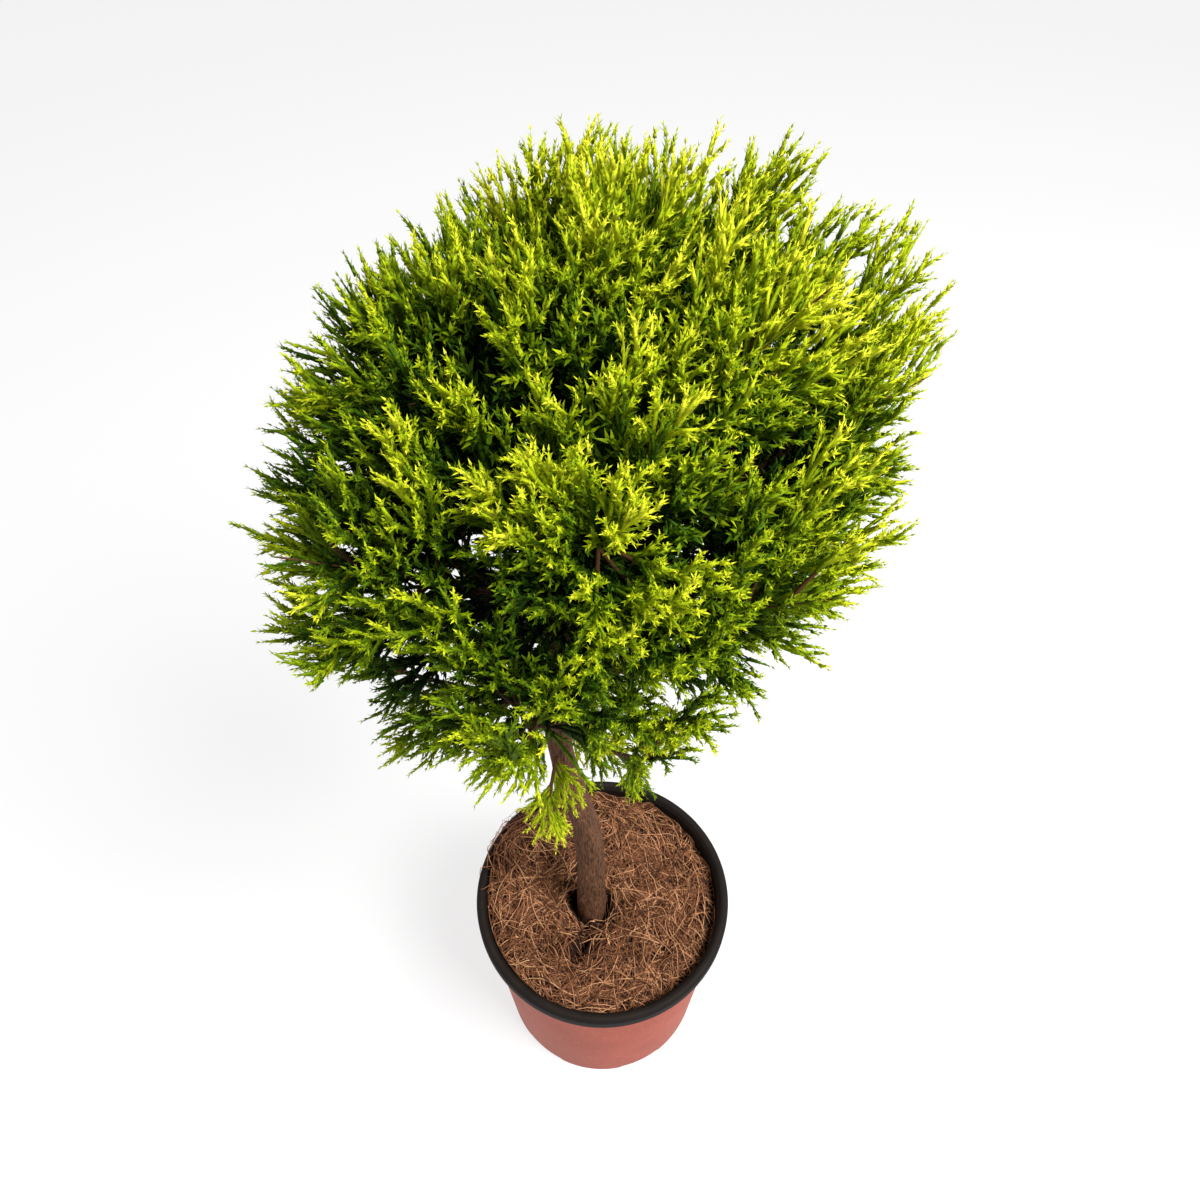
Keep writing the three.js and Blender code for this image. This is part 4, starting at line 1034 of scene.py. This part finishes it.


# %% The light of every spray: painted shade on the upper sides, painted light to the right, more on two young tufts in front and on the sprout
# Painted shade: sprays on the upper left and upper right sides of the head are darker.
flank_shade = smoothstep(-axis_unit[:, 0], 0.35, 0.85) + 0.5 * smoothstep(axis_unit[:, 0], 0.55, 0.95)
flank_shade = flank_shade * smoothstep(in_light(axis_middle), -0.1, 0.6)
# A spray's value: lighter further out (partly painted shade inside, partly older growth), painted light and shade by
# in_light, painted light towards the right where the lamp falls (0.06 x), painted shade on the upper sides
# (flank_shade), and the dice.
axis_light = (-0.055 + 0.34 * smoothstep(how_far_out(axis_middle), 0.45, 1.0) + 0.11 * in_light(axis_middle)
              + 0.06 * axis_unit[:, 0] - 0.2 * flank_shade + 0.18 * swing(np.arange(len(axis_curves)), 91)
              + 0.26 * swing(plume, 93.5))
for tuft in YOUNG_TUFTS:
    axis_light = axis_light + 0.36 * np.exp(-((np.linalg.norm(axis_middle - tuft, axis=-1) / TUFT_WIDTH) ** 2))
axis_light = np.where(of_sprout, SPROUT_LIGHT, axis_light)
branchlet_light = axis_light[parent] + 0.2 * branchlet_t + 0.16 * swing(np.arange(len(branchlets)), 92)
tip_light = branchlet_light[tip_parent] + 0.06
print("light of the shoots from", axis_light.min().round(2), "to", axis_light.max().round(2))

# %% [markdown]
# ## Needles and twigs
#
# A young needle is a slender awl, about three millimetres long, that leans forward and hides the twig with its foot.
# Instances would be light, but the export drops them. Instances would be lighter, but each needle is a closed solid
# of four faces, and all needles of one colour are joined. Deep inside the head they are larger and fewer, where
# nobody can tell. The twigs under them are three-sided rods in the same colours.

# %% Needles
def needles_on(curves, lengths, light, step, size, start, seed):
    """Needles in crossed pairs along curves. Each has a foot, a tip and two shoulders a third of the way out, which
    lie a little lower than the ridge from foot to tip. Needles lean further ahead towards the end of their curve,
    and close over it as a tuft."""
    pairs = np.maximum(2, np.round(lengths * (1 - start) / step)).astype(int)
    curve, k = numbered(pairs)
    share = (k + 0.6) / pairs[curve]
    t = start + (1 - start) * share
    curve, k, share, t = (np.repeat(a, 2) for a in (curve, k, share, t))
    of_pair = np.tile([0.0, np.pi], len(curve) // 2)
    spot, ahead = bezier(curves[curve], t), direction_of(curves[curve], t)
    turn = of_pair + (k % 2) * np.pi / 2 + 0.35 * k + 6.28 * roll(curve, seed)
    turn = turn + 0.5 * swing(curve + 0.17 * k + of_pair, seed + 1)
    out = turned_side(ahead, np.array([0.31, 0.52, 0.79]), turn)
    slant = lerp(40, 22, share**3) + 14 * swing(curve + 0.31 * k + of_pair, seed + 2)
    way, ridge, across = leaning(ahead, out, slant), leaning(out, -ahead, slant), np.cross(ahead, out)
    uneven = lerp(0.85, 1.12, roll(curve + 0.43 * k + of_pair, seed + 3))
    length = (size * lerp(1.05, 0.72, share**2) * uneven)[:, None]
    foot = spot - way * 0.15
    shoulder = foot + way * 0.3 * length - ridge * 0.06 * length
    half = across * 0.16 * length
    tip = foot + way * length + ahead * 0.08 * length
    return np.stack([foot, shoulder - half, shoulder + half, tip], 1), tint_numbers(spot, light[curve], share)


FINE, COARSE, DEEP_INSIDE = 1.0, 1.85, 0.78
sets = []
for curves, lengths, light, step, size, start, seed in [
    (axis_curves, axis_length, axis_light, 2.4, 3.2, 0.1, 100),
    (branchlets, branchlet_length, branchlet_light, 2.15, 3.1, 0.05, 110),
    (tips, tip_length, tip_light, 2.0, 2.85, 0.1, 120),
]:
    late = bezier(curves, 0.7)
    deep = (how_far_out(late) < DEEP_INSIDE) & (late[:, 2] > CONE_TOP - 30)
    sets += [needles_on(curves[some], lengths[some], light[some], step * scale, size * scale, start, seed)
             for some, scale in ((~deep, FINE), (deep, COARSE))]
needles = np.concatenate([corners for corners, _ in sets])
needle_tint = np.concatenate([tint for _, tint in sets])
print(len(needles), "needles", np.bincount(needle_tint, minlength=len(TINTS)))

# %% Needles as pieces, one colour each
MOST_NEEDLES = 48000
NEEDLE_FACES = np.array([[0, 1, 3], [0, 3, 2], [0, 2, 1], [1, 2, 3]])
for tint, (label, _) in enumerate(TINTS):
    chosen = np.flatnonzero(needle_tint == tint)
    for part, some in enumerate(np.array_split(chosen, math.ceil(len(chosen) / MOST_NEEDLES))):
        faces = NEEDLE_FACES[None] + 4 * np.arange(len(some))[:, None, None]
        add_piece(f"needles_{label}_{part + 1}", needles[some], [faces.reshape(-1, 3)], needle_materials[tint],
                  slot_of(tint), foliage_nodes, smooth=False)


# %% Twigs
def twig_paths(curves, rings):
    """Points at even steps of t along quadratic curves, as (curves, rings, 3)."""
    return bezier(curves[:, None], np.linspace(0, 1, rings)[None, :])


def green_twigs(name, curves, light, foot, tip, rings):
    """Rods with a three-sided section along curves, in the colour of the needles that cover them. The scale-like
    feet of those needles make the rods of young foliage as thick as they look."""
    tint_of = tint_numbers(bezier(curves, 0.6), light, 0.3)
    for tint, (label, _) in enumerate(TINTS):
        chosen = tint_of == tint
        if chosen.any():
            rods = tubes(twig_paths(curves[chosen], rings), lerp(foot, tip, np.linspace(0, 1, rings)), 3)
            add_piece(f"{name}_{label}", *rods, needle_materials[tint], slot_of(tint), foliage_nodes)


green_twigs("shoots", axis_curves, axis_light, 1.25, 0.7, 4)
green_twigs("branchlets", branchlets, branchlet_light, 1.25, 0.7, 2)
green_twigs("tips", tips, tip_light, 1.1, 0.6, 2)
brown_twig = new_material("brown_twig", (88, 58, 36), 0.8, 0.15)[0]
stem_rods = tubes(stems[:, ::2], lerp(1.45, 0.4, np.linspace(0, 1, 33)), 6)
branch_rods = tubes(twig_paths(branches, 9), lerp(1.1, 0.35, np.linspace(0, 1, 9)), 5)
add_piece("stem_twigs", *stem_rods, brown_twig, "foliage_green", foliage_nodes)
add_piece("branch_twigs", *branch_rods, brown_twig, "foliage_green", foliage_nodes)

# %% [markdown]
# ## Floor, light and camera
#
# The plant stands on a plain pale floor, which glows a little so that only a faint shadow is left beside the pot.
# One soft lamp to the right, above and in front, gives the yellow tops their brightness, and a pale sky fills the
# rest. The camera looks down at the plant from above its front, as a person does who has it at their feet.

# %% Stage
FLOOR_SIZE, FLOOR_BELOW, FLOOR_GLOW, SKY_STRENGTH = 12, 0.0003, 0.72, 0.42
bpy.ops.mesh.primitive_plane_add(size=FLOOR_SIZE, location=(0, 0, -FLOOR_BELOW))
floor = bpy.context.object
floor.name = "floor"
pale_floor, _, shader = new_material("pale_floor", (150, 150, 150), 0.9, 0.1)
shader.inputs["Emission Color"].default_value = (1, 1, 1, 1)
shader.inputs["Emission Strength"].default_value = FLOOR_GLOW
floor.data.materials.append(pale_floor)

world = bpy.data.worlds.new("studio")
bpy.context.scene.world = world
world.use_nodes = True
sky = world.node_tree.nodes["Background"].inputs
sky["Color"].default_value, sky["Strength"].default_value = (1, 1, 1, 1), SKY_STRENGTH

LAMP_PLACE, LAMP_TARGET, LAMP_SIZE, LAMP_WATTS = np.array([0.9, -0.6, 1.9]), np.array([0, 0, 0.5]), 0.9, 58
window = bpy.data.lights.new("window", "AREA")
window.size, window.energy = LAMP_SIZE, LAMP_WATTS
lamp = add_object("window", window)
away = LAMP_PLACE - LAMP_TARGET
lamp.location = LAMP_PLACE
lamp.rotation_euler = (math.acos(away[2] / np.linalg.norm(away)), 0, math.atan2(away[1], away[0]) + math.pi / 2)

LENS, SENSOR, LOOKS_DOWN, EYE = 28.5, 36.0, math.radians(49.83), (-0.0018, -0.295, 0.8661)
camera_data = bpy.data.cameras.new("camera")
camera_data.lens, camera_data.sensor_width, camera_data.clip_start = LENS, SENSOR, 0.01
camera = add_object("camera", camera_data)
camera.location = EYE
camera.rotation_euler = (math.pi / 2 - LOOKS_DOWN, 0, 0)
bpy.context.scene.camera = camera
bpy.context.scene.view_settings.view_transform = "Standard"
print("camera looks down by", round(math.degrees(LOOKS_DOWN), 1), "degrees;", sum(triangles.values()), "triangles")
